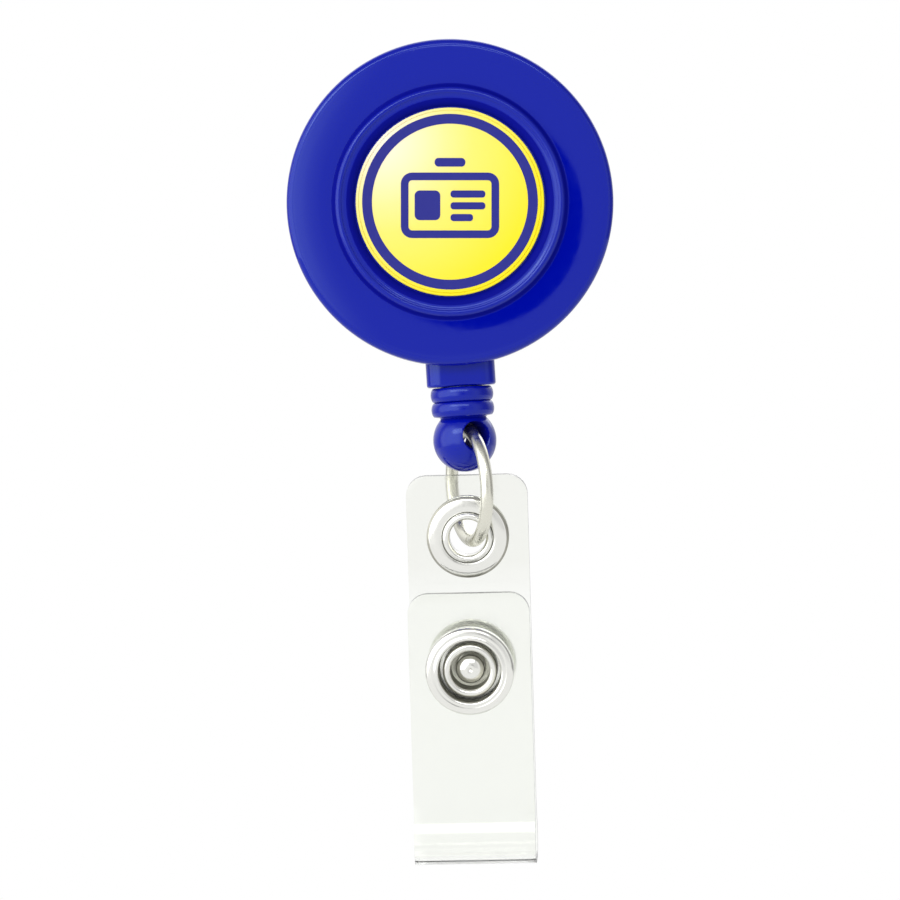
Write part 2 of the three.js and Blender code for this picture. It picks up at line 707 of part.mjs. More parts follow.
// Rounded ring on the flap's front face, round the socket's tube.
function snapRing() {
  const face = FLAP_Y - STRAP_T / 2 - GAP;
  const round = 0.62;
  return turned(
    [
      [SNAP_RING_HOLE, face],
      [SNAP_R - 0.15, face],
      [SNAP_R, face - 0.3],
      ...arc(SNAP_R - round, face - SNAP_RING_H + round, round, 0, -80, 4),
      [SNAP_RING_HOLE + 0.35, face - SNAP_RING_H + 0.35],
      [SNAP_RING_HOLE, face - SNAP_RING_H + 0.75],
    ],
    40,
  ).translate(0, 0, -SNAP_DROP);
}

// ---- Spring clip ----

// Teeth along a jaw's edge: notches in X, cut through a lip.
function toothGaps(depth0, depth1) {
  const pitch = CLIP_W / TEETH;
  const gaps = [];
  for (let i = 1; i < TEETH; i++) {
    const x = -CLIP_W / 2 + i * pitch;
    gaps.push(
      solid(box(x - pitch * 0.22, x + pitch * 0.22, depth0, depth1, -CLIP_MOUTH - 2, -CLIP_MOUTH + 2)),
    );
  }
  return gaps;
}

const earOut = () => CLIP_W / 2 - CLIP_SHEET - GAP;

function clipBase() {
  const shape = rounded(-CLIP_W / 2, CLIP_W / 2, -CLIP_MOUTH, CLIP_TAIL, 0.6, 2.4);
  const plate = solid(prismY(shape, PLATE_IN, PLATE_OUT));
  const lip = solid(
    box(
      -CLIP_W / 2, CLIP_W / 2,
      PLATE_OUT - 0.2, BITE_DEPTH - GAP / 2,
      -CLIP_MOUTH, -CLIP_MOUTH + CLIP_SHEET,
    ),
  );
  const earShape = rounded(
    PLATE_OUT - 0.2, PIN_DEPTH + PIN_HEAD_R,
    PIN_UP - 2.2, PIN_UP + 2.2,
    0, 0,
  );
  const ear = (x0) => solid(prismX(earShape, x0, x0 + CLIP_SHEET));
  const pinHole = solid(turnedX(disc(PIN_R + GAP, -CLIP_W, CLIP_W), 24))
    .translate(0, PIN_DEPTH, PIN_UP);
  const rivetHole = solid(turned(disc(RIVET_R + GAP, PLATE_IN - 1, PLATE_OUT + 1), 24));
  // The plate is pierced beside the ears, where they were bent up out of it.
  const window = (side) =>
    solid(
      box(
        side * (earOut() + 0.3) - 0.25, side * (earOut() + 0.3) + 0.25,
        PLATE_IN - 1, PLATE_OUT + 1,
        PIN_UP - 2.2, PIN_UP + 2.2,
      ),
    );
  return geometryOf(
    cut(
      join(plate, lip, ear(earOut() - CLIP_SHEET), ear(-earOut())),
      pinHole,
      rivetHole,
      window(1),
      window(-1),
      ...toothGaps(PLATE_OUT, BITE_DEPTH + 1),
    ),
  );
}

// Mid line of the lever's sheet in depth and Z, from the bite to the end of the thumb pad.
function leverLine() {
  const bite = BITE_DEPTH + GAP / 2;
  const z0 = -CLIP_MOUTH + CLIP_SHEET / 2;
  const curve = new THREE.CatmullRomCurve3(
    [
      v3(bite, 0, z0),
      v3(bite + 1, 0, z0 + 0.05),
      v3(bite + 1.9, 0, z0 + 0.9),
      v3(PIN_DEPTH + 0.9, 0, -CLIP_MOUTH * 0.45),
      v3(PIN_DEPTH + 2, 0, 0),
      v3(PIN_DEPTH + 2.3, 0, PIN_UP),
      v3(PIN_DEPTH + 2.9, 0, PIN_UP + 3.4),
      v3(PIN_DEPTH + 4.3, 0, THUMB_REACH - 1),
      v3(PIN_DEPTH + 4.55, 0, THUMB_REACH),
    ],
    false,
    "centripetal",
  );
  return curve.getSpacedPoints(30).map((p) => [p.x, p.z]);
}

function clipLever() {
  const line = leverLine();
  const sheet = solid(prismX(strip(line, CLIP_SHEET), -CLIP_W / 2, CLIP_W / 2));
  const trim = solid(
    prismY(rounded(-CLIP_W / 2, CLIP_W / 2, -CLIP_MOUTH - 1, THUMB_REACH + 1, 0, 3.2), 0, 40),
  );
  const wing = outline([
    [PIN_DEPTH - PIN_HEAD_R, PIN_UP - 1],
    [PIN_DEPTH - PIN_HEAD_R, PIN_UP + 1],
    [PIN_DEPTH - 0.4, PIN_UP + 1.9],
    [PIN_DEPTH + 2.2, PIN_UP + 3],
    [PIN_DEPTH + 2.2, PIN_UP],
    [PIN_DEPTH + 1.8, 0],
    [PIN_DEPTH + 0.9, -CLIP_MOUTH * 0.4],
    [PIN_DEPTH + 0.2, -CLIP_MOUTH * 0.4],
  ]);
  const side = (x0) => solid(prismX(wing, x0, x0 + CLIP_SHEET));
  const pinHole = solid(turnedX(disc(PIN_R + GAP, -CLIP_W, CLIP_W), 24))
    .translate(0, PIN_DEPTH, PIN_UP);
  const wings = join(side(CLIP_W / 2 - CLIP_SHEET), side(-CLIP_W / 2));
  return geometryOf(
    cut(
      join(sheet.intersect(trim), wings),
      pinHole,
      ...toothGaps(BITE_DEPTH - 1, BITE_DEPTH + 0.75),
    ),
  );
}

function clipPin() {
  const half = CLIP_W / 2 + GAP;
  const head = 0.55;
  return turnedX(
    [
      [0, -half - head],
      [PIN_HEAD_R - 0.3, -half - head],
      [PIN_HEAD_R, -half - head + 0.25],
      [PIN_HEAD_R, -half],
      [PIN_R, -half],
      [PIN_R, half],
      [PIN_HEAD_R, half],
      [PIN_HEAD_R, half + head - 0.25],
      [PIN_HEAD_R - 0.3, half + head],
      [0, half + head],
    ],
    24,
  ).translate(0, PIN_DEPTH, PIN_UP);
}

// Torsion spring round the pin: one leg lies on the base plate and the other under the thumb pad.
function clipSpring() {
  const perTurn = 14;
  const turns = SPRING_COILS + 0.5;
  const pitch = 2 * SPRING_WIRE_R + 0.1;
  const r = SPRING_COIL_R;
  const first = -(turns * pitch) / 2;
  const points = [
    v3(first, PLATE_OUT + GAP + SPRING_WIRE_R, PIN_UP + 3.3),
    v3(first, PLATE_OUT + GAP + SPRING_WIRE_R + 0.15, PIN_UP + 2.2),
  ];
  for (let i = 0; i <= turns * perTurn; i++) {
    const a = (i / perTurn) * 2 * Math.PI;
    const x = first + (pitch * i) / perTurn;
    points.push(v3(x, PIN_DEPTH - r * Math.cos(a), PIN_UP - r * Math.sin(a)));
  }
  points.push(v3(-first, PIN_DEPTH + r + 0.15, PIN_UP + 1.4));
  points.push(v3(-first, PIN_DEPTH + r + 0.6, PIN_UP + 3.9));
  return bar(new THREE.CatmullRomCurve3(points, false, "centripetal"), SPRING_WIRE_R, 90, 8);
}

function swivelRivet() {
  const seat = SHELL_FLOOR - 0.2 - GAP;
  const head = PLATE_OUT + GAP;
  return turned(
    [
      [0, seat - RIVET_HEAD_H],
      [RIVET_INNER_R - 0.25, seat - RIVET_HEAD_H],
      [RIVET_INNER_R, seat - RIVET_HEAD_H + 0.25],
      [RIVET_INNER_R, seat],
      [RIVET_R, seat],
      [RIVET_R, head],
      [RIVET_HEAD_R, head],
      [RIVET_HEAD_R, head + 0.2],
      [RIVET_HEAD_R * 0.7, head + RIVET_HEAD_H * 0.85],
      [0, head + RIVET_HEAD_H],
    ],
    32,
  );
}

const swivelWasher = () =>
  turned(tube(RIVET_R + RUN, RIVET_HEAD_R + 1, CASE_DEPTH + GAP, PLATE_IN - GAP), 36);

// ---- Assembly ----

const reel = new THREE.Group();
reel.add(
  piece("front_cover", "plastic", frontCover()),
  piece("back_shell", "plastic", backShell()),
  piece("label_disc", "label", labelDisc()),
  piece("spool", "spool", spool()),
  piece("wound_cord", "nylon", woundCord()),
  piece("cord_feed", "nylon", cordFeed()),
  piece("cord_lead", "nylon", cordLead()),
  piece("mainspring", "springSteel", mainspring()),
  piece("cord_knot", "nylon", cordKnot()),
  piece("clip_base", "nickel", clipBase()),
  piece("clip_lever", "nickel", clipLever()),
  piece("clip_pin", "nickel", clipPin()),
  piece("clip_spring", "springSteel", clipSpring()),
  piece("swivel_rivet", "nickel", swivelRivet()),
  piece("swivel_washer", "nickel", swivelWasher()),
);

const plug = new THREE.Group();
plug.position.set(0, CORD_DEPTH, 0);
plug.add(piece("end_plug", "plastic", endPlug()));
reel.add(plug);

// The ring's frame: origin at its centre, its plane upright and turned from straight ahead.
const ring = new THREE.Group();
ring.position.set(RING_SHIFT, CORD_DEPTH, RING_Z);
ring.rotation.z = rad(RING_TURN);
ring.add(piece("jump_ring", "nickel", jumpRing()));
reel.add(ring);

// The strap leans about the ring's centre, so its eyelet stays round the wire as it leans.
const strap = new THREE.Group();
strap.position.set(
  STRAP_SHIFT,
  CORD_DEPTH + EYELET_DROP * Math.sin(LEAN),
  RING_Z - EYELET_DROP * Math.cos(LEAN),
);
strap.rotation.set(LEAN, rad(STRAP_ROLL), rad(STRAP_YAW), "ZXY");
strap.add(
  piece("strap_back", "vinyl", strapBack()),
  piece("strap_flap", "vinyl", strapFlap()),
  piece("eyelet", "nickel", eyelet()),
  piece("eyelet_washer", "nickel", eyeletWasher()),
  piece("snap_stud", "nickel", snapStud()),
  piece("snap_post", "nickel", snapPost()),
  piece("snap_socket", "nickel", snapSocket()),
  piece("snap_ring", "nickel", snapRing()),
);
reel.add(strap);

reel.position.set(0, -BITE_DEPTH, CLIP_MOUTH);

const badgeReel = new THREE.Group();
badgeReel.add(reel);

export default badgeReel;
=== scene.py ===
# %% [markdown]
# # A retractable badge reel
# A badge reel is a small sprung spool in a round plastic case. This file dresses its fixed
# engineering model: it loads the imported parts, gives the hidden ones a finish, and models again,
# in finer shape, every piece that shows. Sizes are in millimetres and are turned to metres where a
# mesh is made. X runs to the right, Y from front to back and Z up.

# %% Load the frame
import json
import math

import bpy
from mathutils import Matrix, Vector

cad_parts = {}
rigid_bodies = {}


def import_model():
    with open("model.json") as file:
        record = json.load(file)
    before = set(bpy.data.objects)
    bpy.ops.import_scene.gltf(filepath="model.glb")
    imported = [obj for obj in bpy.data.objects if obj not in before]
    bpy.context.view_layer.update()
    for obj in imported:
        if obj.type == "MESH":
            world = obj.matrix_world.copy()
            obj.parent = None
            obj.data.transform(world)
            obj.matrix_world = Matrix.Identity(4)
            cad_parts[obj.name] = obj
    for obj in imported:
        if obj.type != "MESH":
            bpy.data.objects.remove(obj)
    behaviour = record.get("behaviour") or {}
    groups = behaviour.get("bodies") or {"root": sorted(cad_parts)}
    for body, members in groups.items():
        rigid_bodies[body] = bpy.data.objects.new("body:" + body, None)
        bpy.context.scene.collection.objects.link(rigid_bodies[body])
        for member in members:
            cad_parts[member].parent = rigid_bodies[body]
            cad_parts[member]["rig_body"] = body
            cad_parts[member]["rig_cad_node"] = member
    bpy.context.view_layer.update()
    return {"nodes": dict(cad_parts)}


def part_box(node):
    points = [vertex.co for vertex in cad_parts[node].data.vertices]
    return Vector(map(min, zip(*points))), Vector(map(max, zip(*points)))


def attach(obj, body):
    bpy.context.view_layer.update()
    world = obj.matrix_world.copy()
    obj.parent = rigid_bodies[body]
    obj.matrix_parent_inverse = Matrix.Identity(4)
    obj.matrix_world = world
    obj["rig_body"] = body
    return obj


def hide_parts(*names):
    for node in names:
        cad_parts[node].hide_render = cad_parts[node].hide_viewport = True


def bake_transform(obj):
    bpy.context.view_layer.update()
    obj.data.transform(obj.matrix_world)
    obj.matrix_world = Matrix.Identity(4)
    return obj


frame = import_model()
NODES = frame["nodes"]

# %% [markdown]
# ## Places
# Three frames of reference make the work easy. The reel's own frame has the axis of the case at
# x = z = 0 and its front plane at y = 0. The cord's line runs straight down from the case. The
# strap's frame has the eyelet's centre as its origin and leans with the strap.

# %% Places taken from the engineering model
MM = 0.001
FRONT_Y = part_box("front_cover")[0].y / MM
AXIS_Z = sum(c.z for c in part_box("label_disc")) / 2 / MM
CORD_Y = sum(c.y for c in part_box("cord_knot")) / 2 / MM
REEL = Matrix.Translation((0, FRONT_Y * MM, AXIS_Z * MM))
CORD_LINE = Matrix.Translation((0, CORD_Y * MM, AXIS_Z * MM))

STRAP_LEAN, STRAP_ROLL, STRAP_YAW = (math.radians(a) for a in (8.0, 2.3, -3.5))
EYELET_CENTRE = (-0.28, -5.2791, -21.3871)
STRAP = (
    Matrix.Translation(Vector(EYELET_CENTRE) * MM)
    @ Matrix.Rotation(STRAP_YAW, 4, "Z")
    @ Matrix.Rotation(STRAP_LEAN, 4, "X")
    @ Matrix.Rotation(STRAP_ROLL, 4, "Y")
)
print("front plane", round(FRONT_Y, 3), "axis height", round(AXIS_Z, 3))
print("the cord runs at", round(CORD_Y, 3))

# %% [markdown]
# ## Small tools for the bench
# Most pieces of this object are turned: they are the same all the way round an axis. A turned
# piece starts as one point that is extruded along its profile, and the profile is then spun into a
# solid. Arcs in the profile keep every edge softly rounded, as a mould or a press leaves it.


# %% Select, edit and tidy
WELD = 0.0005  # points closer than this are one point
print("points within", WELD, "mm are merged")


def deselect():
    """Leaves edit mode and selects nothing, which each new piece starts from."""
    if bpy.context.mode != "OBJECT":
        bpy.ops.object.mode_set(mode="OBJECT")
    bpy.ops.object.select_all(action="DESELECT")


def only(piece):
    """Makes one piece the active and only selected one."""
    deselect()
    piece.hide_set(False)
    piece.select_set(True)
    bpy.context.view_layer.objects.active = piece


def edit(piece, mode="VERT"):
    """Opens a piece for editing with all of it selected."""
    only(piece)
    bpy.ops.object.mode_set(mode="EDIT")
    bpy.ops.mesh.select_mode(type=mode)
    bpy.ops.mesh.select_all(action="SELECT")


def tidy_mesh(piece):
    """Merges doubled points and turns all faces outwards."""
    edit(piece)
    bpy.ops.mesh.remove_doubles(threshold=WELD * MM)
    bpy.ops.mesh.normals_make_consistent(inside=False)
    bpy.ops.object.mode_set(mode="OBJECT")


# %% Lines for profiles
def arc(u, v, r, start, end, steps):
    """Points of an arc in a profile, with both ends. Angles are in degrees."""
    angles = [math.radians(start + (end - start) * i / steps) for i in range(steps + 1)]
    return [(u + r * math.cos(a), v + r * math.sin(a)) for a in angles]


def smooth_line(points, steps):
    """A smooth line through the points, with a number of steps between each two."""
    line = []
    for i in range(len(points) - 1):
        before, a, b, after = (
            Vector(points[max(0, min(len(points) - 1, k))]) for k in (i - 1, i, i + 1, i + 2)
        )
        for s in range(steps):
            t = s / steps
            line.append(
                0.5
                * (
                    2 * a
                    + (b - before) * t
                    + (2 * before - 5 * a + 4 * b - after) * t * t
                    + (3 * a - before - 3 * b + after) * t**3
                )
            )
    return [tuple(p) for p in line] + [tuple(points[-1])]


print("a quarter of a circle in two steps:", arc(0, 0, 1, 0, 90, 2))


# %% Turn a piece
def turned(name, profile, along=(0, 1, 0), steps=96, closed=False):
    """A profile of (radius, height) in millimetres, spun about an axis through the origin."""
    along = Vector(along)
    out = Vector((1, 0, 0)) if along.z else Vector((0, 0, 1))
    points = [(out * r + along * h) * MM for r, h in profile]
    if closed:
        points.append(points[0])
    deselect()
    bpy.ops.mesh.primitive_plane_add(size=MM)
    piece = bpy.context.object
    piece.name = name
    edit(piece)
    bpy.ops.mesh.merge(type="CENTER")
    bpy.ops.transform.translate(value=points[0])
    for here, there in zip(points, points[1:]):
        bpy.ops.mesh.extrude_region_move(TRANSFORM_OT_translate={"value": there - here})
    bpy.ops.mesh.select_all(action="SELECT")
    bpy.ops.mesh.spin(steps=steps, angle=2 * math.pi, center=(0, 0, 0), axis=along)
    bpy.ops.object.mode_set(mode="OBJECT")
    tidy_mesh(piece)
    print(name, "is turned from", len(profile), "points")
    return piece


# %% Cut, join and ease
def apply_modifier(piece, modifier):
    """Makes what a modifier shows part of the mesh."""
    only(piece)
    bpy.ops.object.modifier_apply(modifier=modifier.name)


def combine(piece, other, operation):
    """Cuts the other piece out of this one, or joins it on, and uses it up."""
    modifier = piece.modifiers.new("combine", "BOOLEAN")
    modifier.operation = operation
    modifier.object = other
    modifier.solver = "EXACT"
    apply_modifier(piece, modifier)
    bpy.data.objects.remove(other)
    print(piece.name, "has", len(piece.data.polygons), "faces after a", operation.lower())


def ease_edges(piece, width, segments=3, angle=35):
    """Rounds each edge that is sharper than the angle."""
    modifier = piece.modifiers.new("ease", "BEVEL")
    modifier.width = width * MM
    modifier.segments = segments
    modifier.limit_method = "ANGLE"
    modifier.angle_limit = math.radians(angle)
    modifier.use_clamp_overlap = True
    apply_modifier(piece, modifier)


# %% Seat a finished piece
SMOOTH_BELOW = math.radians(30)  # a sharper edge than this shows as an edge


def seat(piece, place, body, replaced):
    """Puts a finished piece in its place, with its place in its mesh, and hands it to its body."""
    only(piece)
    piece.matrix_world = place @ piece.matrix_world
    bpy.ops.object.transform_apply(location=True, rotation=True, scale=True)
    bpy.ops.object.shade_smooth_by_angle(angle=SMOOTH_BELOW)
    if body:
        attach(piece, body)
    if replaced:
        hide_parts(*replaced)
    print(piece.name, "has", len(piece.data.polygons), "faces")


# %% [markdown]
# ## Finishes
# Colours are written as the hex values of a paint chart and turned to linear light by one function.
# Every pattern is placed with object coordinates, in metres, so a scale of 1000 repeats about once
# a millimetre.


# %% Tools for materials
def linear(hex_colour):
    """An sRGB hex colour as linear red, green, blue and alpha."""
    channels = [int(hex_colour[i : i + 2], 16) / 255 for i in (1, 3, 5)]
    light = [c / 12.92 if c <= 0.04045 else ((c + 0.055) / 1.055) ** 2.4 for c in channels]
    return (*light, 1)


print("mid grey is", round(linear("#808080")[0], 3), "in linear light")


def add_node(tree, kind, sockets=None, **settings):
    """Adds a node. Sockets take a value, or the output of another node, which is linked."""
    made = tree.nodes.new(kind)
    for name, value in settings.items():
        setattr(made, name, value)
    for name, value in (sockets or {}).items():
        if isinstance(value, bpy.types.NodeSocket):
            tree.links.new(value, made.inputs[name])
        else:
            made.inputs[name].default_value = value
    return made


def new_material(name, **sockets):
    """A material with one Principled shader. In a socket's name, _ stands for a space."""
    material = bpy.data.materials.new(name)
    material.use_nodes = True
    shader = material.node_tree.nodes["Principled BSDF"]
    for socket, value in sockets.items():
        shader.inputs[socket.replace("_", " ")].default_value = value
    return material, material.node_tree, shader


def grain(tree, scale, detail, stretch=(1, 1, 1)):
    """Noise in object coordinates, whose scale is in repeats a metre."""
    place = add_node(tree, "ShaderNodeTexCoord").outputs["Object"]
    turned_place = add_node(tree, "ShaderNodeMapping", {"Vector": place, "Scale": stretch})
    return add_node(
        tree,
        "ShaderNodeTexNoise",
        {"Vector": turned_place.outputs["Vector"], "Scale": scale, "Detail": detail},
    ).outputs["Fac"]


def rough_between(tree, shader, pattern, low, high):
    """Lets a noise, whose values are mostly 0.3 to 0.7, move the roughness between two."""
    spread = add_node(
        tree,
        "ShaderNodeMapRange",
        {"Value": pattern, "From Min": 0.3, "From Max": 0.7, "To Min": low, "To Max": high},
    )
    tree.links.new(spread.outputs["Result"], shader.inputs["Roughness"])


def bump(tree, shader, pattern, height, strength=1.0):
    """Raises the surface by a pattern, to a height in millimetres."""
    made = add_node(
        tree,
        "ShaderNodeBump",
        {"Height": pattern, "Strength": strength, "Distance": height * MM},
    )
    tree.links.new(made.outputs["Normal"], shader.inputs["Normal"])


# %% [markdown]
# ### Moulded ABS, deep blue
# The case and the cord end are injection-moulded ABS. From a polished mould it has a near-mirror
# gloss over a saturated blue, a very faint orange peel a few millimetres wide from the way the melt
# cools, and fine handling marks that only change the gloss. What fingers rub, such as the cord end
# and the raised lip, is softer in gloss. Where the mould is spark-eroded the plastic is matt. Those
# places are narrow recesses, and the matt finish's darker blue is painted shade. All three share
# one IOR.

# %% Blue ABS in three finishes
blue_abs, tree, shader = new_material(
    "moulded_abs_deep_blue",
    Base_Color=linear("#00098E"),
    Roughness=0.07,
    IOR=1.53,
    Specular_Tint=(0.5, 0.68, 1.0, 1.0),
)
rough_between(tree, shader, grain(tree, 900, 6), 0.04, 0.09)
bump(tree, shader, grain(tree, 260, 1), 0.01, 0.35)

handled_abs, tree, shader = new_material(
    "handled_abs_deep_blue",
    Base_Color=linear("#00098E"),
    Roughness=0.17,
    IOR=1.53,
    Specular_Tint=(0.5, 0.68, 1.0, 1.0),
)
rough_between(tree, shader, grain(tree, 1300, 6), 0.13, 0.21)
bump(tree, shader, grain(tree, 260, 1), 0.01, 0.35)

# A matt blue whose darker colour is painted shade, for the narrow recesses.
matt_abs_painted_shade, tree, shader = new_material(
    "spark_eroded_abs_painted_shade",
    Base_Color=linear("#00067C"),
    Roughness=0.7,
    IOR=1.53,
    Specular_IOR_Level=0.06,
)
bump(tree, shader, grain(tree, 5000, 3), 0.01, 0.5)
print("blue plastics:", blue_abs.name, handled_abs.name, matt_abs_painted_shade.name)

# %% [markdown]
# ### Nickel plate and spring steel
# Bright nickel over brass or steel is a little warmer and darker than chrome. Barrel plating leaves
# the small fittings with a soft gloss and hair-fine scratches, drawn out along one direction by a
# stretched noise. The wire of the ring is warmer and softer. Walls inside the snap and the rim of
# the washer take a duller nickel whose darker colour is painted shade. The clip is stamped from
# plated strip and keeps a faint grain from its rolling. Its spring is bare drawn steel, which is
# greyer.

# %% Metals
nickel, tree, shader = new_material(
    "bright_nickel_plate",
    Base_Color=linear("#E8E8E3"),
    Metallic=1.0,
    Roughness=0.12,
)
rough_between(tree, shader, grain(tree, 2600, 8, (1, 1, 0.25)), 0.08, 0.24)
bump(tree, shader, grain(tree, 3800, 4, (0.3, 1, 1)), 0.003, 0.3)

nickel_wire, tree, shader = new_material(
    "nickel_plated_wire",
    Base_Color=linear("#DCDBCF"),
    Metallic=1.0,
    Roughness=0.26,
)
rough_between(tree, shader, grain(tree, 1800, 6), 0.2, 0.34)

# A duller nickel whose darker colour is painted shade, for the snap's inner walls and the washer's
# rim.
nickel_painted_shade, tree, shader = new_material(
    "duller_nickel_painted_shade",
    Base_Color=linear("#A8A79D"),
    Metallic=1.0,
    Roughness=0.36,
)
rough_between(tree, shader, grain(tree, 1800, 6), 0.3, 0.5)

stamped, tree, shader = new_material(
    "stamped_steel_nickel_plate",
    Base_Color=linear("#C4C5C2"),
    Metallic=1.0,
    Roughness=0.16,
)
rough_between(tree, shader, grain(tree, 1500, 8, (1, 1, 0.12)), 0.1, 0.24)
bump(tree, shader, grain(tree, 420, 2, (1.0, 1, 0.3)), 0.012, 0.3)

spring_steel, tree, shader = new_material(
    "drawn_spring_steel",
    Base_Color=linear("#8E9196"),
    Metallic=1.0,
    Roughness=0.25,
)
rough_between(tree, shader, grain(tree, 3000, 4), 0.2, 0.35)
print("metals:", *(m.name for m in (nickel, nickel_wire, nickel_painted_shade, stamped, spring_steel)))

# %% [markdown]
# ### Clear soft vinyl
# The strap is plasticised PVC sheet, clear with a trace of warm grey. It is calendered between
# rollers, which leaves it glossy with long shallow waves, and handling dulls it a little. A ramp
# along Z gives its colour: greyer round the eyelet and clearer lower down.

# %% Clear vinyl
vinyl, tree, shader = new_material(
    "clear_soft_pvc",
    Roughness=0.13,
    IOR=1.5,
    Transmission_Weight=1.0,
)
rough_between(tree, shader, grain(tree, 700, 5), 0.09, 0.17)
bump(tree, shader, grain(tree, 180, 1, (1, 1, 0.4)), 0.04, 0.4)
CLEAR_BELOW, GREY_ABOVE = -28.0, -24.0  # heights, in millimetres
height = add_node(
    tree,
    "ShaderNodeSeparateXYZ",
    {"Vector": add_node(tree, "ShaderNodeTexCoord").outputs["Object"]},
).outputs["Z"]
grey = add_node(
    tree,
    "ShaderNodeMapRange",
    {"Value": height, "From Min": CLEAR_BELOW * MM, "From Max": GREY_ABOVE * MM},
).outputs["Result"]
tone = add_node(tree, "ShaderNodeValToRGB", {"Fac": grey})
tone.color_ramp.elements[0].color = linear("#FBFCF9")
tone.color_ramp.elements[1].color = linear("#F3F4EF")
tree.links.new(tone.outputs["Color"], shader.inputs["Base Color"])
print("the vinyl turns from clear to grey over", GREY_ABOVE - CLEAR_BELOW, "mm")

# %% [markdown]
# ### Printed label, nylon and the spool's plastic
# The label is offset-printed film: a yellow that deepens from the top left to the bottom right, and
# a blue ink. The distance from the palest point drives a colour ramp, whose stops are in
# millimetres. The cord is braided nylon and the spool is natural acetal.

# %% Printed film
yellow_film, tree, shader = new_material(
    "printed_yellow_film", Roughness=0.4, IOR=1.45, Specular_IOR_Level=0.3
)
PALE_X, PALE_Z = -6.5, 6.5  # where the print is palest, from the label's centre
FADE = 20.0  # the whole ramp's length
place = add_node(tree, "ShaderNodeTexCoord").outputs["Object"]
away = add_node(
    tree,
    "ShaderNodeVectorMath",
    {0: place, 1: Vector((PALE_X, FRONT_Y, AXIS_Z + PALE_Z)) * MM},
    operation="DISTANCE",
).outputs["Value"]
share = add_node(tree, "ShaderNodeMath", {0: away, 1: FADE * MM}, operation="DIVIDE")
ramp = add_node(tree, "ShaderNodeValToRGB", {"Fac": share.outputs["Value"]})
stops = ramp.color_ramp.elements
for distance, colour in (
    (2.2, "#E4DABA"),
    (4.2, "#E4DAA6"),
    (6.4, "#E2D889"),
    (9.2, "#E3D666"),
    (11.5, "#E3D556"),
    (13.2, "#E3D447"),
    (15.0, "#E2D234"),
    (16.4, "#E2D21E"),
):
    stop = stops.new(distance / FADE)
    stop.color = linear(colour)
stops[0].color = linear("#E5DED3")
stops[-1].color = linear("#E1D016")
tree.links.new(ramp.outputs["Color"], shader.inputs["Base Color"])
bump(tree, shader, grain(tree, 3000, 3), 0.003, 0.2)
print("the label fades through", len(stops), "colours")

# %% Ink, nylon and acetal
blue_ink, tree, shader = new_material(
    "offset_ink_blue",
    Base_Color=linear("#21247C"),
    Roughness=0.4,
    IOR=1.45,
    Specular_IOR_Level=0.3,
)
rough_between(tree, shader, grain(tree, 2500, 3), 0.28, 0.42)

nylon, tree, shader = new_material(
    "braided_nylon_black", Base_Color=linear("#15151A"), Roughness=0.6
)
bump(tree, shader, grain(tree, 4000, 2), 0.03, 0.8)

acetal, tree, shader = new_material(
    "natural_acetal", Base_Color=linear("#E9E6DC"), Roughness=0.35, IOR=1.48
)
rough_between(tree, shader, grain(tree, 800, 3), 0.3, 0.45)
print("and also:", blue_ink.name, nylon.name, acetal.name)

# %% [markdown]
# ## The hidden works
# The spool, its spring and most of the cord never show, so the engineering parts stay as they are
# and only take their finish.


# %% Dress the hidden parts
def dress(piece, material):
    """Gives a whole piece one material."""
    piece.data.materials.clear()
    piece.data.materials.append(material)


for name, material in {
    "spool": acetal,
    "wound_cord": nylon,
    "cord_feed": nylon,
    "cord_knot": nylon,
    "mainspring": spring_steel,
}.items():
    dress(NODES[name], material)
    print(name, "is dressed in", material.name)

# %% [markdown]
# ## Front cover
# The cover is one moulding: a flat seat for the label, a steep wall, a small step, a raised round
# lip, a narrow valley, and a broad crowned rim that rolls over into a straight skirt. All of it is
# turned, so it is spun from one profile. Only the notch that lets the neck out is cut afterwards.

# %% Cover from its profile
COVER_R = 16.0
SKIRT = 4.6
SHELL_FIT_R = 14.8
rim = smooth_line(
    [
        (11.6, 0.808),
        (12.0, 0.815),
        (12.5, 0.831),
        (13.0, 0.854),
        (13.7, 0.9),
        (14.4, 0.962),
        (15.1, 1.046),
        (15.36, 1.086),
    ],
    4,
)
cover_profile = [
    (0, 1.05),
    (9.32, 1.05),
    *smooth_line([(9.38, 1.03), (9.5, 0.88), (9.75, 0.64), (10.02, 0.5), (10.12, 0.478)], 4),
    *smooth_line([(10.14, 0.474), (10.3, 0.455), (10.42, 0.42), (10.52, 0.37)], 3),
    *arc(10.86, 0.55, 0.34, 215, 318, 16),
    *smooth_line([(11.15, 0.37), (11.3, 0.55), (11.44, 0.73), (11.51, 0.79)], 3),
    *rim,
    *arc(15.22, 1.84, 0.78, 285, 360, 12),
    (COVER_R, 2.8),
    (COVER_R, SKIRT - 0.25),
    *arc(COVER_R - 0.22, SKIRT - 0.22, 0.22, 0, 90, 4),
    (SHELL_FIT_R + 0.1, SKIRT),
    (SHELL_FIT_R, SKIRT - 0.1),
    (SHELL_FIT_R, 2.6),
    (14.5, 2.35),
    (11.7, 2.2),
    (0, 2.25),
]
cover = turned("cover", cover_profile, steps=160)

# %% Notch for the neck
# It starts behind the cover's face, so that only the skirt is open.
NOTCH_W, NOTCH_DEEP, NOTCH_TALL = 7.1, 5.0, 6.0
NOTCH_FRONT, NOTCH_Z = 2.42, -17.2
deselect()
bpy.ops.mesh.primitive_cube_add(size=MM)
notch = bpy.context.object
notch.scale = (NOTCH_W, NOTCH_DEEP, NOTCH_TALL)
notch.location = Vector((0, NOTCH_FRONT + NOTCH_DEEP / 2, NOTCH_Z)) * MM
bpy.ops.object.transform_apply(location=True, scale=True)
combine(cover, notch, "DIFFERENCE")
seat(cover, REEL, "case", ["front_cover"])
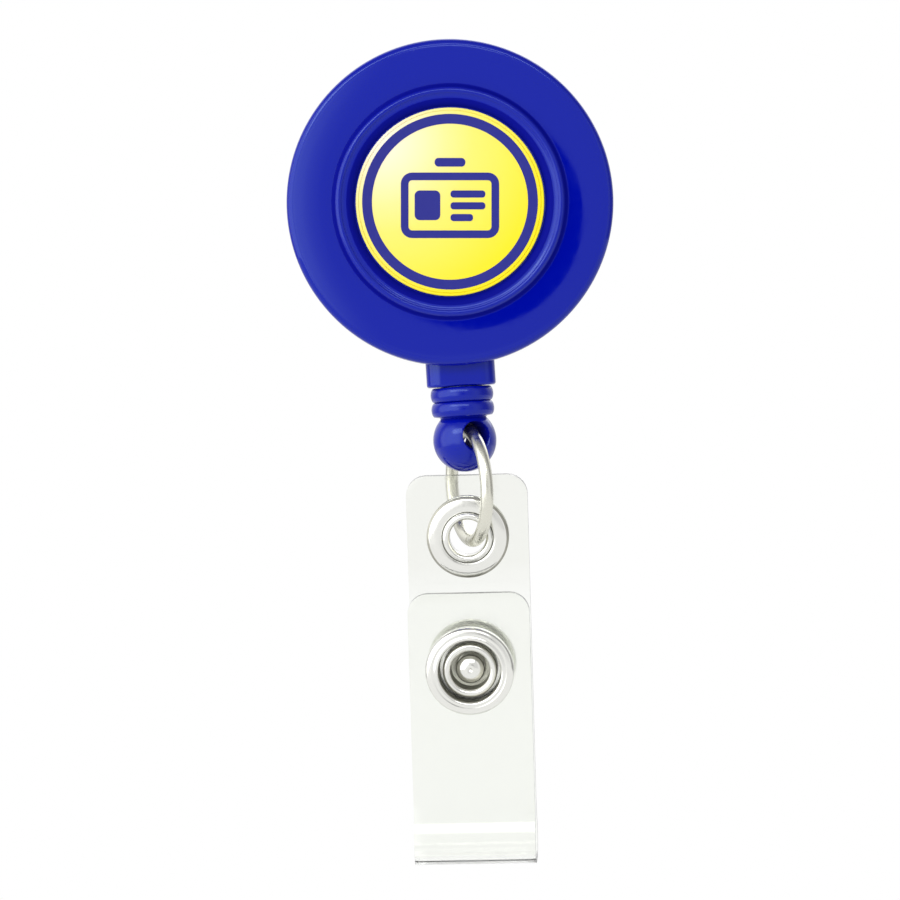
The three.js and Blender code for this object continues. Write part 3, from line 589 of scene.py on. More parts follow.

# %% Finishes of the cover
# The wall round the label and the valley outside the lip come from spark-eroded parts of the
# mould, so they are matt, and their darker blue is painted shade. The lip between them stands
# proud and is worn by handling.
dress(cover, blue_abs)
WALL_IN, LIP_IN, LIP_OUT, VALLEY_OUT = 9.3, 10.14, 11.2, 11.58
FACE_DEPTH = 1.6  # faces further back are inside the cover
cover.data.materials.append(matt_abs_painted_shade)
cover.data.materials.append(handled_abs)
for face in cover.data.polygons:
    x, y, z = face.center / MM
    out = math.hypot(x, z - AXIS_Z)
    if y < FRONT_Y + FACE_DEPTH:
        if LIP_IN <= out <= LIP_OUT:
            face.material_index = 2
        elif WALL_IN < out < VALLEY_OUT:
            face.material_index = 1
print("matt faces:", sum(face.material_index == 1 for face in cover.data.polygons))

# %% [markdown]
# ## Label
# A disc of film lies on the seat, with its edge cut square and a kiss-cut line just inside it. The
# blue print stands a hair proud as its own thin layer: a band near the edge, and in the middle a
# plain picture of a badge, which is a generic mark. Its card is an inset rounded rectangle, and the
# rest are small rounded bars.

# %% Label film
LABEL_R = 9.2
LABEL_FACE, LABEL_BACK = 0.75, 1.04
# The kiss cut is a small groove, whose two sides catch the light.
CUT_R, CUT_HALF, CUT_DEEP = LABEL_R - 0.28, 0.06, 0.08
film = turned(
    "label_film",
    [
        (0, LABEL_FACE),
        (CUT_R - CUT_HALF, LABEL_FACE),
        (CUT_R, LABEL_FACE + CUT_DEEP),
        (CUT_R + CUT_HALF, LABEL_FACE),
        (LABEL_R - 0.06, LABEL_FACE),
        (LABEL_R, LABEL_FACE + 0.05),
        (LABEL_R, LABEL_BACK),
        (0, LABEL_BACK),
    ],
    steps=128,
)
seat(film, REEL, "case", ["label_disc"])
dress(film, yellow_film)

# %% Printed band
INK_PROUD, INK_SUNK = 0.02, 0.01  # how far the ink stands out of the film, and reaches into it
BAND_IN, BAND_OUT = 7.62, 8.58
ink_front, ink_back = LABEL_FACE - INK_PROUD, LABEL_FACE + INK_SUNK
band = turned(
    "label_band",
    [(BAND_IN, ink_front), (BAND_OUT, ink_front), (BAND_OUT, ink_back), (BAND_IN, ink_back)],
    steps=128,
    closed=True,
)
seat(band, REEL, "case", ())
dress(band, blue_ink)


# %% Badge symbol
def printed_bar(name, x, z, width, height, corner, outline=0.0):
    """A rounded bar of ink, or only its outline, drawn with a line of that width."""
    deselect()
    bpy.ops.mesh.primitive_plane_add(size=1, rotation=(math.pi / 2, 0, 0))
    bar = bpy.context.object
    bar.name = name
    bar.scale = (width * MM, height * MM, 1)
    bpy.ops.object.transform_apply(rotation=True, scale=True)
    edit(bar)
    bpy.ops.mesh.bevel(offset=corner * MM, segments=6, affect="VERTICES")
    if outline:
        bpy.ops.mesh.select_all(action="SELECT")
        bpy.ops.mesh.inset(thickness=outline * MM)
        bpy.ops.mesh.delete(type="FACE")
    bpy.ops.mesh.select_all(action="SELECT")
    bpy.ops.mesh.extrude_region_move(
        TRANSFORM_OT_translate={"value": (0, (ink_back - ink_front) * MM, 0)}
    )
    bpy.ops.object.mode_set(mode="OBJECT")
    tidy_mesh(bar)
    bar.location = Vector((x, ink_front, z)) * MM
    bpy.ops.object.transform_apply(location=True)
    return bar


symbol = [
    printed_bar("label_symbol", 0, -0.35, 9.6, 6.4, 1.1, outline=0.75),
    printed_bar("symbol_picture", -2.2, -0.35, 2.5, 2.9, 0.5),
    printed_bar("symbol_line_1", 1.75, 0.75, 3.4, 0.7, 0.3),
    printed_bar("symbol_line_2", 1.75, -0.4, 3.4, 0.7, 0.3),
    printed_bar("symbol_line_3", 1.15, -1.55, 2.2, 0.7, 0.3),
    printed_bar("symbol_slot", 0, 3.85, 3.0, 0.85, 0.38),
]
deselect()
for bar in symbol:
    bar.select_set(True)
bpy.context.view_layer.objects.active = symbol[0]
bpy.ops.object.join()
# The label was stuck on a little turned from the neck.
LABEL_TURN = math.radians(3.6)
label_place = REEL @ Matrix.Rotation(LABEL_TURN, 4, "Y")
seat(symbol[0], label_place, "case", ())
dress(symbol[0], blue_ink)

# %% [markdown]
# ## Back shell and neck
# The shell is a cup with a rounded back edge, a shallow groove round its back, and the arbor for
# the spool standing up inside. The cord leaves through a rounded neck that is moulded with it. The
# cup and arbor are one turned profile. The neck is a box with rounded edges that is joined on
# before the bores are cut.

# %% Cup and arbor
SHELL_R = 14.65
BACK_D = 9.0
shell_profile = [
    (1.35, BACK_D),
    (10.9, BACK_D),
    *arc(11.1, BACK_D, 0.2, 180, 270, 3),
    *arc(11.4, BACK_D, 0.2, 270, 360, 3),
    (12.2, BACK_D),
    *arc(SHELL_R - 1.4, BACK_D - 1.4, 1.4, 90, 0, 10),
    (SHELL_R, 2.85),
    (SHELL_R - 0.1, 2.75),
    (13.55, 2.75),
    (13.55, 7.5),
    (13.15, 7.9),
    (3.6, 7.9),
    (3.2, 7.6),
    (3.2, 3.85),
    (2.7, 3.85),
    (2.7, 2.5),
    (2.6, 2.4),
    (1.95, 2.4),
    (1.95, 7.7),
    (1.35, 7.7),
]
shell = turned("shell", shell_profile, steps=144, closed=True)

# %% Neck
NECK_FOOT = -18.0
NECK_W, NECK_DEEP, NECK_TALL = 6.8, 5.0, 5.6
CORD_D = 5.075  # the cord's distance behind the front plane
deselect()
bpy.ops.mesh.primitive_cube_add(size=1)
neck = bpy.context.object
neck.scale = Vector((NECK_W, NECK_DEEP, NECK_TALL)) * MM
neck.location = Vector((0, CORD_D, NECK_FOOT + NECK_TALL / 2)) * MM
bpy.ops.object.transform_apply(location=True, scale=True)
# The four upright edges are rounded first, and then the edges round the foot.
edit(neck, "EDGE")
bpy.ops.mesh.select_all(action="DESELECT")
bpy.ops.object.mode_set(mode="OBJECT")
for edge in neck.data.edges:
    a, b = (neck.data.vertices[i].co for i in edge.vertices)
    edge.select = abs(a.z - b.z) > 1 * MM
bpy.ops.object.mode_set(mode="EDIT")
bpy.ops.mesh.bevel(offset=1.5 * MM, segments=8)
bpy.ops.mesh.select_mode(type="FACE")
bpy.ops.mesh.select_all(action="DESELECT")
bpy.ops.object.mode_set(mode="OBJECT")
for face in neck.data.polygons:
    face.select = face.normal.z < -0.9
bpy.ops.object.mode_set(mode="EDIT")
bpy.ops.mesh.bevel(offset=0.25 * MM, segments=4)
bpy.ops.object.mode_set(mode="OBJECT")
print("the rounded neck has", len(neck.data.polygons), "faces")

# %% Join the neck and bore it
# The neck is hollowed where it reaches into the cup, and joined on. One tool then cuts the socket
# that the cord end parks in and the hole for the cord.
room = turned("room", [(0, 1), (13.5, 1), (13.5, 7.45), (0, 7.45)], steps=144)
combine(neck, room, "DIFFERENCE")
combine(shell, neck, "UNION")
bore = turned(
    "bore",
    [
        (0, NECK_FOOT - 1),
        (2.65, NECK_FOOT - 1),
        (2.65, NECK_FOOT - 0.05),
        *arc(2.55, NECK_FOOT + 0.25, 0.25, 270, 180, 4),
        (2.3, NECK_FOOT + 1.5),
        (1.1, NECK_FOOT + 1.5),
        (1.1, -13.9),
        (1.9, -13.0),
        (0, -13.0),
    ],
    along=(0, 0, 1),
    steps=64,
)
bore.location.y = CORD_D * MM
only(bore)
bpy.ops.object.transform_apply(location=True)
combine(shell, bore, "DIFFERENCE")
seat(shell, REEL, "case", ["back_shell"])
dress(shell, blue_abs)

# %% [markdown]
# ## Cord end
# The cord ends in a plug that parks in the neck: a short spigot, two rounded ribs to grip, a
# throat, and a ball with a cross hole. The body is turned. The hole is cut with a turned pin that
# flares at both ends, which leaves its rims rounded.

# %% Body of the cord end
RIB_TOP, RIB_H, RIB_R = -18.06, 1.445, 3.1
GROOVE_R = 2.72
BALL_R, THROAT_R = 3.12, 2.25
THROAT_FOOT = RIB_TOP - 2 * RIB_H - 0.2
BALL_Z = THROAT_FOOT - math.sqrt(BALL_R**2 - THROAT_R**2)

RIB_FULLNESS = 0.42  # 1 is a sine wave, and a smaller value has a flatter top
ribs = []
for top in (RIB_TOP, RIB_TOP - RIB_H):
    for down in (0.0, 0.02, 0.06, 0.12, 0.2, 0.3, 0.4, 0.5, 0.6, 0.7, 0.8, 0.88, 0.94, 0.98):
        swell = max(math.sin(down * math.pi), 0.0) ** RIB_FULLNESS
        ribs.append((GROOVE_R + (RIB_R - GROOVE_R) * swell, top - down * RIB_H))
ball_start = math.degrees(math.asin(THROAT_R / BALL_R))
plug_profile = [
    (0, RIB_TOP + 1.2),
    (1.75, RIB_TOP + 1.2),
    *arc(1.8, RIB_TOP + 1.0, 0.2, 90, 0, 4),
    (2.0, RIB_TOP + 0.02),
    *ribs,
    (THROAT_R + 0.12, RIB_TOP - 2 * RIB_H - 0.04),
    (THROAT_R, THROAT_FOOT + 0.06),
    *[
        (BALL_R * math.sin(math.radians(a)), BALL_Z + BALL_R * math.cos(math.radians(a)))
        for a in [ball_start + 2 + i * (178 - ball_start) / 28 for i in range(28)]
    ],
    (0, BALL_Z - BALL_R),
]
plug = turned("cord_end", plug_profile, along=(0, 0, 1), steps=96)

# %% Holes of the cord end
HOLE_R, HOLE_Z = 1.35, BALL_Z + 0.45
PLUG_TURN = math.radians(25)
FLARE, PAST = 0.4, 1.2  # the rims' radius, and how far the pin stands out of the ball
half = math.sqrt(BALL_R**2 - HOLE_R**2)
flare = [
    (0, -half - PAST),
    (HOLE_R + FLARE, -half - PAST),
    *arc(HOLE_R + FLARE, -half + FLARE, FLARE, 265, 180, 6),
    *arc(HOLE_R + FLARE, half - FLARE, FLARE, 180, 95, 6),
    (HOLE_R + FLARE, half + PAST),
    (0, half + PAST),
]
pin = turned("pin", flare, steps=64)
pin.matrix_world = Matrix.Translation((0, 0, HOLE_Z * MM)) @ Matrix.Rotation(PLUG_TURN, 4, "Z")
combine(plug, pin, "DIFFERENCE")
CORD_HOLE_R, CORD_HOLE_TOP = 0.55, -10
cord_hole = turned(
    "cord_hole",
    [(0, HOLE_Z), (CORD_HOLE_R, HOLE_Z), (CORD_HOLE_R, CORD_HOLE_TOP), (0, CORD_HOLE_TOP)],
    along=(0, 0, 1),
    steps=32,
)
combine(plug, cord_hole, "DIFFERENCE")
seat(plug, CORD_LINE, "plug", ["end_plug"])
dress(plug, handled_abs)
# The core pin leaves the cross hole duller than the polished outside, and its darker blue is
# painted shade inside the hole.
plug.data.materials.append(matt_abs_painted_shade)
across = Vector((-math.sin(PLUG_TURN), math.cos(PLUG_TURN), 0))
hole_centre = CORD_LINE @ (Vector((0, 0, HOLE_Z)) * MM)
for face in plug.data.polygons:
    out = face.center - hole_centre
    if (out - across * out.dot(across)).length < (HOLE_R + 0.12) * MM:
        face.material_index = 1

# %% [markdown]
# ## Cord
# Parked, the cord's free end is a few millimetres inside the neck. Pulled out, the same stretch
# spans the whole 860 mm. One smooth tube, cut into even parts along its length, takes the lead's
# place.

# %% Cord through the neck
lead_low, lead_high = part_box("cord_lead")
CORD_RADIUS, PARTS = 0.4, 12
deselect()
bpy.ops.mesh.primitive_cylinder_add(
    vertices=24,
    radius=CORD_RADIUS * MM,
    depth=lead_high.z - lead_low.z,
    location=(0, CORD_Y * MM, (lead_high.z + lead_low.z) / 2),
)
lead = bpy.context.object
lead.name = "cord_run"
edit(lead)
for step in range(1, PARTS):
    height = lead_low.z + (lead_high.z - lead_low.z) * step / PARTS
    bpy.ops.mesh.select_all(action="SELECT")
    bpy.ops.mesh.bisect(plane_co=(0, 0, height), plane_no=(0, 0, 1))
bpy.ops.object.mode_set(mode="OBJECT")
seat(lead, Matrix.Identity(4), None, ["cord_lead"])
dress(lead, nylon)
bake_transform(lead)

# %% [markdown]
# ## Jump ring
# A jump ring is a length of round wire bent to a circle until its sawn ends meet. It is a circle
# that is spun almost all the way round, closed with a flat face at each end, and the gap hangs at
# the bottom.

# %% Jump ring
RING_R, WIRE_R = 5.42, 0.63
RING_TURN = math.radians(18)
SLIT = 0.13 / RING_R  # the gap's width over the radius is its angle
ring_low, ring_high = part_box("jump_ring")
ring_centre = (ring_low + ring_high) / 2
deselect()
bpy.ops.mesh.primitive_circle_add(vertices=32, radius=WIRE_R * MM, location=(0, RING_R * MM, 0))
ring = bpy.context.object
ring.name = "ring"
bpy.ops.object.transform_apply(location=True)
edit(ring)
bpy.ops.mesh.edge_face_add()
bpy.ops.mesh.spin(steps=120, angle=2 * math.pi - SLIT, center=(0, 0, 0), axis=(1, 0, 0))
bpy.ops.object.mode_set(mode="OBJECT")
tidy_mesh(ring)
ease_edges(ring, 0.07, 2, 60)
# The gap is turned from the side to the bottom, and the ring to its place on the plug.
ring.matrix_world = Matrix.Rotation(math.radians(-90) + SLIT / 2, 4, "X")
ring_place = Matrix.Translation(ring_centre) @ Matrix.Rotation(RING_TURN, 4, "Z")
seat(ring, ring_place, "ring", ["jump_ring"])
dress(ring, nickel_wire)

# %% [markdown]
# ## Strap
# The strap is one strip of clear vinyl, folded up in front into a short flap that snaps shut. Its
# fold swells into a loop, because the sheet won't crease. Its top edge is extruded along the
# strip's side view, its width shaped at the two ends for the round corners, and Solidify gives it
# its thickness.

# %% Side view of the strap
STRAP_W, STRAP_T, CORNER = 12.0, 0.7, 2.0
STRAP_TOP, STRAP_DROP = 6.12, 32.5
FLAP_Y, FLAP_TOP, SNAP_DROP = -3.3, 5.1, 12.7
LOOP_FOOT = -STRAP_DROP + STRAP_T / 2
# How far the fold swells out behind, at heights above its foot. The front is its mirror image.
LOOP = [
    (swell, LOOP_FOOT + up)
    for swell, up in (
        (0.0, 12.0),
        (0.0, 8.5),
        (0.0, 6.6),
        (0.04, 5.6),
        (0.14, 4.8),
        (0.36, 4.1),
        (0.66, 3.5),
        (0.94, 2.9),
        (1.08, 2.3),
        (1.08, 1.5),
        (0.78, 0.7),
        (0.0, 0.15),
    )
]
fold = smooth_line(
    [
        *LOOP,
        (FLAP_Y / 2, LOOP_FOOT),
        *[(FLAP_Y - y, z) for y, z in reversed(LOOP)],
    ],
    8,
)
ends = [CORNER * (1 - math.cos(math.radians(a))) for a in range(0, 91, 10)]
strip = (
    [(0.0, STRAP_TOP - d) for d in ends]
    + [(0.0, z) for z in (2, 0, -2, -4, -7, -10, -13, -16, -18.5)]
    + fold
    + [(FLAP_Y, z) for z in (-18.5, -16, -13, -10.5, -8.5)]
    + [(FLAP_Y, -FLAP_TOP - d) for d in reversed(ends)]
)
strip_length = sum(math.dist(a, b) for a, b in zip(strip, strip[1:]))
print("laid flat, the strip is", round(strip_length, 1), "mm long")


# %% Strap sheet
def half_width(z, top):
    """Half the strip's width at a height, narrower where its corners are rounded."""
    into = min(max(top - z, 0.0), CORNER)
    return STRAP_W / 2 - CORNER + math.sqrt(CORNER**2 - (CORNER - into) ** 2)


widths = [
    half_width(z, STRAP_TOP if y > FLAP_Y / 2 else -FLAP_TOP) if z > -20 else STRAP_W / 2
    for y, z in strip
]
deselect()
bpy.ops.mesh.primitive_plane_add(size=1)
strap = bpy.context.object
strap.name = "strap"
edit(strap)
bpy.ops.mesh.merge(type="CENTER")
# The strip starts as its top edge: a point on the left is extruded to the right in equal steps.
bpy.ops.transform.translate(value=Vector((-widths[0], strip[0][0], strip[0][1])) * MM)
COLUMNS = 12
for _ in range(COLUMNS):
    bpy.ops.mesh.extrude_region_move(
        TRANSFORM_OT_translate={"value": (2 * widths[0] / COLUMNS * MM, 0, 0)}
    )
bpy.ops.mesh.select_all(action="SELECT")
for (y0, z0), (y1, z1), w0, w1 in zip(strip, strip[1:], widths, widths[1:]):
    bpy.ops.mesh.extrude_region_move(
        TRANSFORM_OT_translate={"value": (0, (y1 - y0) * MM, (z1 - z0) * MM)}
    )
    if abs(w1 - w0) > 1e-6:
        bpy.ops.transform.resize(value=(w1 / w0, 1, 1), center_override=(0, 0, 0))
bpy.ops.object.mode_set(mode="OBJECT")
tidy_mesh(strap)
print("the sheet has", len(strap.data.polygons), "faces")

# %% Thickness and holes of the strap
thick = strap.modifiers.new("thickness", "SOLIDIFY")
thick.thickness = STRAP_T * MM
thick.offset = 0
thick.use_even_offset = True
apply_modifier(strap, thick)
ease_edges(strap, 0.12, 3, 60)
tidy_mesh(strap)

PUNCH = 1.5  # how far a punch reaches to each side of the sheet's middle
for name, radius, y, z in (
    ("eyelet_hole", 2.5, 0, 0),
    ("post_hole", 0.95, 0, -SNAP_DROP),
    ("tube_hole", 2.85, FLAP_Y, -SNAP_DROP),
):
    near, far = y - PUNCH, y + PUNCH
    hole = turned(name, [(0, near), (radius, near), (radius, far), (0, far)], steps=64)
    hole.location.z = z * MM
    combine(strap, hole, "DIFFERENCE")
seat(strap, STRAP, None, ["strap_back", "strap_flap"])
dress(strap, vinyl)
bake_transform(strap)

# %% [markdown]
# ## Eyelet
# An eyelet is a drawn tube with a flange. Pushed through the strap from behind, its front end is
# rolled over a flat washer. Tube, flange and roll are one turned profile, and so is the washer,
# whose bevelled rim takes a darker nickel as painted shade and draws a dark line round it.

# %% Eyelet and washer
FACE = STRAP_T / 2  # the strap's faces are this far from its middle
eyelet = turned(
    "eyelet_barrel",
    [
        (2.32, FACE + 0.12),
        (2.32, -FACE - 0.5),
        *arc(2.14, -FACE - 0.58, 0.34, 10, -180, 14),
        (1.8, FACE - 0.1),
        (1.86, FACE + 0.25),
        (2.1, FACE + 0.5),
        (2.5, FACE + 0.56),
        (3.8, FACE + 0.53),
        *arc(3.88, FACE + 0.35, 0.17, 80, -60, 6),
        (3.8, FACE + 0.14),
    ],
    steps=96,
    closed=True,
)
seat(eyelet, STRAP, "strap", ["eyelet"])
dress(eyelet, nickel)
washer = turned(
    "eyelet_ring",
    [
        (2.55, -FACE - 0.12),
        (3.96, -FACE - 0.12),
        (4.04, -FACE - 0.17),
        (4.06, -FACE - 0.25),
        (3.84, -FACE - 0.46),
        (3.74, -FACE - 0.52),
        (3.5, -FACE - 0.575),
        (3.2, -FACE - 0.61),
        (2.85, -FACE - 0.61),
        *arc(2.66, -FACE - 0.48, 0.12, 260, 190, 4),
    ],
    steps=96,
    closed=True,
)
dress(washer, nickel)
washer.data.materials.append(nickel_painted_shade)
# The bevel round the rim takes the duller nickel, whose darker colour is painted shade.
BEVEL_IN = 3.83
for face in washer.data.polygons:
    if math.hypot(face.center.x, face.center.z) > BEVEL_IN * MM:
        face.material_index = 1
seat(washer, STRAP, "strap", ["eyelet_washer"])

# %% [markdown]
# ## Snap fastener
# A ring-spring snap has four stampings. On the back layer a domed cap holds a post that is clenched
# in the stud. On the flap a rounded ring holds the socket, whose tube the stud's head clicks into.
# All four are turned, with the fine rolled rims that such stampings have.


# %% Make a stamping of the snap
SNAP_INSIDE = 3.15  # walls nearer the middle than this are inside the snap


def snap_piece(name, profile, body, node):
    """Turns one stamping of the snap and puts it on the strap."""
    piece = turned(name, profile, steps=96, closed=profile[0][0] > 0)
    dress(piece, nickel)
    piece.data.materials.append(nickel_painted_shade)
    # The walls inside the snap take the duller nickel, whose darker colour is painted shade.
    for face in piece.data.polygons:
        x, y, z = face.center / MM
        if abs(face.normal.y) < 0.5 and math.hypot(x, z) < SNAP_INSIDE:
            face.material_index = 1
    place = STRAP @ Matrix.Translation((0, 0, -SNAP_DROP * MM))
    seat(piece, place, body, [node])


# %% Ring and socket on the flap
FRONT = FLAP_Y - FACE  # the front of the flap
snap_piece(
    "snap_front_ring",
    [
        (3.02, FRONT - 0.12),
        (4.2, FRONT - 0.12),
        *arc(4.26, FRONT - 0.26, 0.13, 60, 0, 3),
        *arc(3.83, FRONT - 0.72, 0.56, 10, -70, 9),
        (3.72, FRONT - 1.31),
        (3.58, FRONT - 1.27),
        (3.46, FRONT - 1.31),
        *arc(3.32, FRONT - 1.12, 0.24, 290, 200, 6),
        (3.05, FRONT - 0.8),
    ],
    "flap",
    "snap_ring",
)
snap_piece(
    "snap_socket_tube",
    [
        (2.7, FLAP_Y + FACE + 0.15),
        (3.75, FLAP_Y + FACE + 0.15),
        *arc(3.72, FLAP_Y + FACE + 0.33, 0.17, 270, 360, 4),
        (3.89, FLAP_Y + FACE + 1.1),
        *arc(3.62, FLAP_Y + FACE + 1.2, 0.24, 0, 90, 4),
        (2.3, FLAP_Y + FACE + 1.44),
        (1.98, FLAP_Y + FACE + 1.2),
        (1.93, FLAP_Y + FACE + 0.9),
        *arc(2.315, FRONT - 0.36, 0.385, 180, 360, 12),
    ],
    "flap",
    "snap_socket",
)

# %% Stud and cap on the back layer
STUD_TOP = FRONT - 0.35
snap_piece(
    "snap_stud_head",
    [
        (0.0, -FACE - 0.75),
        (0.85, -FACE - 0.75),
        (0.95, -FACE - 0.65),
        (0.95, -FACE - 0.15),
        (3.3, -FACE - 0.15),
        *arc(3.32, -FACE - 0.32, 0.16, 90, -60, 5),
        (1.7, -FACE - 0.62),
        (1.36, -FACE - 0.8),
        (1.26, -FACE - 1.1),
        (1.26, STUD_TOP + 1.3),
        *arc(1.12, STUD_TOP + 0.72, 0.3, 20, -50, 5),
        (1.08, STUD_TOP + 0.3),
        (0.75, STUD_TOP + 0.1),
        (0.4, STUD_TOP + 0.03),
        (0.22, STUD_TOP + 0.06),
        (0.1, STUD_TOP + 0.16),
        (0.0, STUD_TOP + 0.18),
    ],
    "strap",
    "snap_stud",
)
snap_piece(
    "snap_back_cap",
    [
        (0.0, -FACE - 0.6),
        (0.7, -FACE - 0.6),
        (0.8, -FACE - 0.5),
        (0.8, FACE + 0.15),
        (4.2, FACE + 0.15),
        *arc(4.25, FACE + 0.3, 0.14, 270, 380, 5),
        *arc(4.0, FACE + 0.42, 0.26, 30, 75, 4),
        (3.2, FACE + 0.83),
        (2.0, FACE + 0.98),
        (1.0, FACE + 1.05),
        (0.0, FACE + 1.07),
    ],
    "strap",
    "snap_post",
)

# %% [markdown]
# ## Spring clip
# The clip is stamped from 0.6 mm steel. Each stamping keeps its engineering shape, and a merged
# copy of it has its sheared edges eased, as tumbling leaves them.


# %% Clip stampings
def eased_copy(node, name, width, material, body, angle=30):
    """Replaces an engineering part by a copy with merged points and eased edges."""
    copy = NODES[node].copy()
    copy.data = NODES[node].data.copy()
    # The copy is a piece of its own, so it drops the marks of an engineering part.
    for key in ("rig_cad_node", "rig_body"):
        if key in copy:
            del copy[key]
    copy.parent = None
    copy.name = name
    bpy.context.scene.collection.objects.link(copy)
    tidy_mesh(copy)
    edit(copy)
    bpy.ops.mesh.dissolve_limited(angle_limit=math.radians(2))
    bpy.ops.object.mode_set(mode="OBJECT")
    ease_edges(copy, width, 2, angle)
    seat(copy, Matrix.Identity(4), body, [node])
    dress(copy, material)


eased_copy("clip_base", "clip_plate", 0.1, stamped, "clip")
eased_copy("clip_lever", "clip_jaw", 0.1, stamped, "lever")
eased_copy("clip_pin", "clip_axle", 0.06, nickel, "clip", angle=40)
eased_copy("swivel_rivet", "rivet", 0.08, nickel, "clip", angle=40)
eased_copy("swivel_washer", "spacer", 0.08, nickel, "clip", angle=40)

# %% [markdown]
# ### Torsion spring
# The spring is one wire: a leg along the plate, coils round the pin, and a leg under the thumb pad.
# A curve with a round bevel draws it, and it is then made a mesh.

# %% Torsion spring
SPRING_WIRE, SPRING_COIL, TURNS, TURN_STEPS = 0.35, 1.6, 3.5, 24
pin_low, pin_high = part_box("clip_pin")
pin_y, pin_z = ((pin_low + pin_high) / 2 / MM)[1:]
PLATE_OUT = 10.35  # the plate's outer face, behind the front plane
leg_y = FRONT_Y + PLATE_OUT + SPRING_WIRE + 0.15
pitch = 2 * SPRING_WIRE + 0.1
first = -TURNS * pitch / 2
route = [(first, leg_y, pin_z + 3.3), (first, leg_y + 0.15, pin_z + 2.2)]
for i in range(int(TURNS * TURN_STEPS) + 1):
    a = i / TURN_STEPS * 2 * math.pi
    route.append(
        (
            first + pitch * i / TURN_STEPS,
            pin_y - SPRING_COIL * math.cos(a),
            pin_z - SPRING_COIL * math.sin(a),
        )
    )
route += [
    (-first, pin_y + SPRING_COIL + 0.15, pin_z + 1.4),
    (-first, pin_y + SPRING_COIL + 0.55, pin_z + 3.8),
]
line = bpy.data.curves.new("torsion_spring", "CURVE")
line.dimensions = "3D"
line.bevel_depth = SPRING_WIRE * MM
line.bevel_resolution = 5
line.use_fill_caps = True
spline = line.splines.new("POLY")
spline.points.add(len(route) - 1)
for point, place in zip(spline.points, route):
    point.co = (*(c * MM for c in place), 1)
spring = bpy.data.objects.new("torsion_spring", line)
bpy.context.scene.collection.objects.link(spring)
only(spring)
bpy.ops.object.convert(target="MESH")
spring = bpy.context.object
tidy_mesh(spring)
seat(spring, Matrix.Identity(4), None, ["clip_spring"])
dress(spring, spring_steel)
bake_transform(spring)

# %% [markdown]
# ## Floor, light and camera
# A catalogue shows such an object on plain white, lit by big soft sources. The floor is a lit white
# sheet far below, so that the cord can be pulled all the way out above it. The world is plain white
# to the camera. Clear parts see it almost white, and a little darker to the sides. Everything else,
# matt or glossy, is lit by a dimmer studio with a bright window on the left and a dark lens, so
# that it keeps its colour and its form.

# %% Floor
FLOOR_SIZE, FLOOR_Z = 8, -0.96  # in metres
deselect()
bpy.ops.mesh.primitive_plane_add(size=FLOOR_SIZE, location=(0, 0, FLOOR_Z))
floor = bpy.context.object
floor.name = "floor"
lit_table, tree, shader = new_material(
    "lit_opal_acrylic",
    Base_Color=(0, 0, 0, 1),
    Roughness=1.0,
    Specular_IOR_Level=0.0,
    Emission_Color=(1, 1, 1, 1),
    Emission_Strength=1.0,
)
dress(floor, lit_table)
print("the floor is", -FLOOR_Z, "m below the origin")

# %% World
world = bpy.data.worlds.new("studio")
bpy.context.scene.world = world
world.use_nodes = True
tree = world.node_tree
tree.nodes.clear()
direction = add_node(tree, "ShaderNodeTexCoord").outputs["Generated"]


def towards(point, low, high, dark, light):
    """Brightness that changes as the direction turns towards a point of the studio."""
    dot = add_node(
        tree,
        "ShaderNodeVectorMath",
        {0: direction, 1: Vector(point).normalized()},
        operation="DOT_PRODUCT",
    ).outputs["Value"]
    return add_node(
        tree,
        "ShaderNodeMapRange",
        {"Value": dot, "From Min": low, "From Max": high, "To Min": dark, "To Max": light},
        interpolation_type="SMOOTHSTEP",
    ).outputs["Result"]


def both(a, b, operation):
    """One number from two."""
    return add_node(tree, "ShaderNodeMath", {0: a, 1: b}, operation=operation).outputs["Value"]


def either(share, a, b):
    """The first number where the share is 0, and the second where it is 1."""
    return add_node(
        tree, "ShaderNodeMix", {"Factor": share, "A": a, "B": b}, data_type="FLOAT"
    ).outputs["Result"]


# Behind the object the studio is dim below and bright above. Its sides are dark and its front hazy.
behind = towards((0, 0.25, 1), -0.2, 0.95, 0.55, 1.35)
side = towards((0, -1, 0), -0.45, -0.2, behind, 0.35)
haze = towards((0, -1, 0), 0.2, 0.6, side, 0.8)
# A bright window stands to the left of the camera, whose lens is a small dark disc.
window = towards((-0.9, -0.6, 0.1), 0.62, 0.86, 0.0, 1.8)
lens = towards((0.07, -1, 0.002), 0.9963, 0.9970, 1.0, 0.0)
reflected = both(both(haze, window, "ADD"), lens, "MULTIPLY")
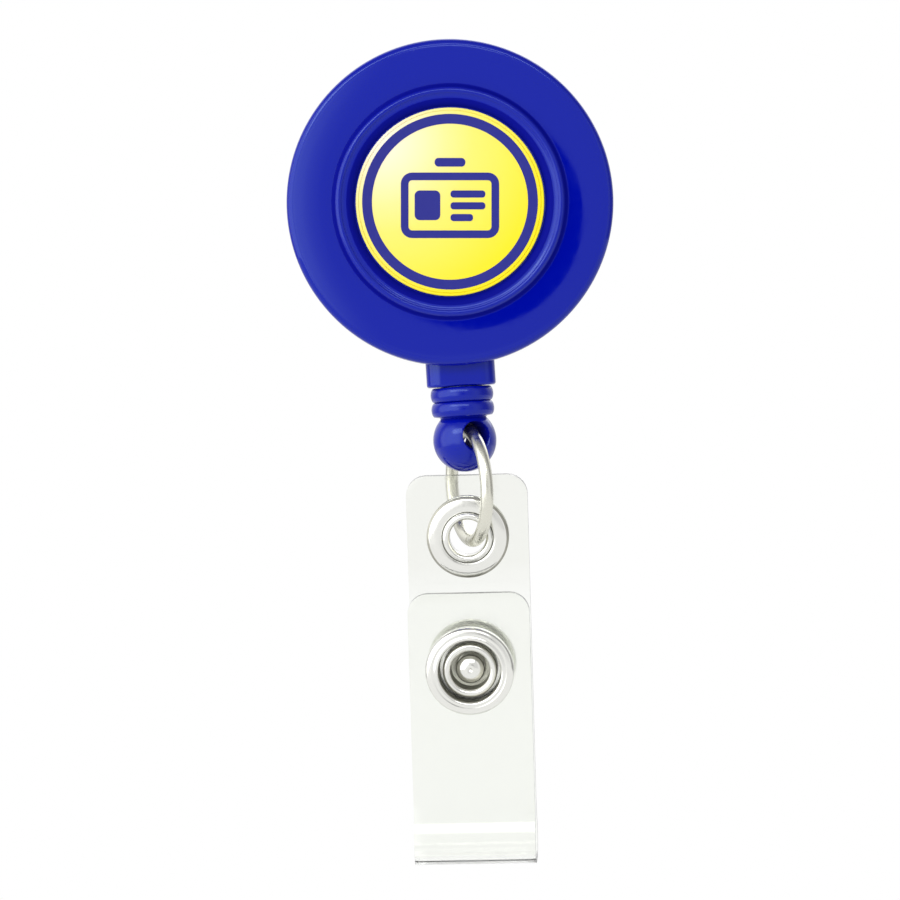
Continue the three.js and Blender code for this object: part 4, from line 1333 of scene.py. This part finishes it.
# Clear parts show the white backdrop, and grow darker where they bend the view to the side.
depth = add_node(tree, "ShaderNodeSeparateXYZ", {"Vector": direction}).outputs["Y"]
facing = both(depth, 0.0, "ABSOLUTE")
through = add_node(
    tree,
    "ShaderNodeMapRange",
    {"Value": facing, "From Min": 0.2, "From Max": 0.85, "To Min": 0.85, "To Max": 1.0},
).outputs["Result"]
ray = add_node(tree, "ShaderNodeLightPath").outputs
studio = either(ray["Is Transmission Ray"], reflected, through)
studio = either(ray["Is Camera Ray"], studio, 1.0)
background = add_node(tree, "ShaderNodeBackground", {"Color": (1, 1, 1, 1), "Strength": studio})
add_node(tree, "ShaderNodeOutputWorld", {"Surface": background.outputs["Background"]})
print("the studio is built from", len(tree.nodes), "nodes")


# %% Lamps
def soft_box(name, place, target, width, height, power):
    """A lit panel that faces a point, with sizes in metres and its power in watts."""
    deselect()
    bpy.ops.object.light_add(type="AREA", location=place)
    lamp = bpy.context.object
    lamp.name = name
    lamp.data.shape = "RECTANGLE"
    lamp.data.size = width
    lamp.data.size_y = height
    lamp.data.energy = power
    aim = Vector(target) - Vector(place)
    lamp.rotation_euler = aim.to_track_quat("-Z", "Y").to_euler()
    print(name, "is", round(aim.length, 2), "m away")


soft_box("strip_box", (-0.12, -0.55, 0.38), (0, 0, 0), 0.8, 0.2, 1.7)
soft_box("fill_box", (0.6, -0.35, 0.1), (0, 0, -0.01), 0.5, 0.5, 0.15)
soft_box("back_box", (0.25, 0.6, 0.4), (0, 0, 0), 0.5, 0.5, 0.8)

# %% Camera
CAMERA_ROLL = math.radians(3.6)
AIM_X, AIM_Y, AIM_Z = -1.52, -8.0, -12.79  # the middle of the view
LENS, SENSOR, VIEW_WIDTH = 180.0, 36.0, 88.32
distance = LENS / SENSOR * VIEW_WIDTH * MM
deselect()
bpy.ops.object.camera_add(location=(AIM_X * MM, AIM_Y * MM - distance, AIM_Z * MM))
camera = bpy.context.object
camera.data.lens = LENS
camera.data.sensor_width = SENSOR
camera.data.clip_start = 0.01
camera.rotation_euler = (
    Matrix.Rotation(CAMERA_ROLL, 4, "Y") @ Matrix.Rotation(math.pi / 2, 4, "X")
).to_euler()
bpy.context.scene.camera = camera
bpy.context.scene.view_settings.view_transform = "Standard"
print("the camera is", round(distance, 3), "m away")
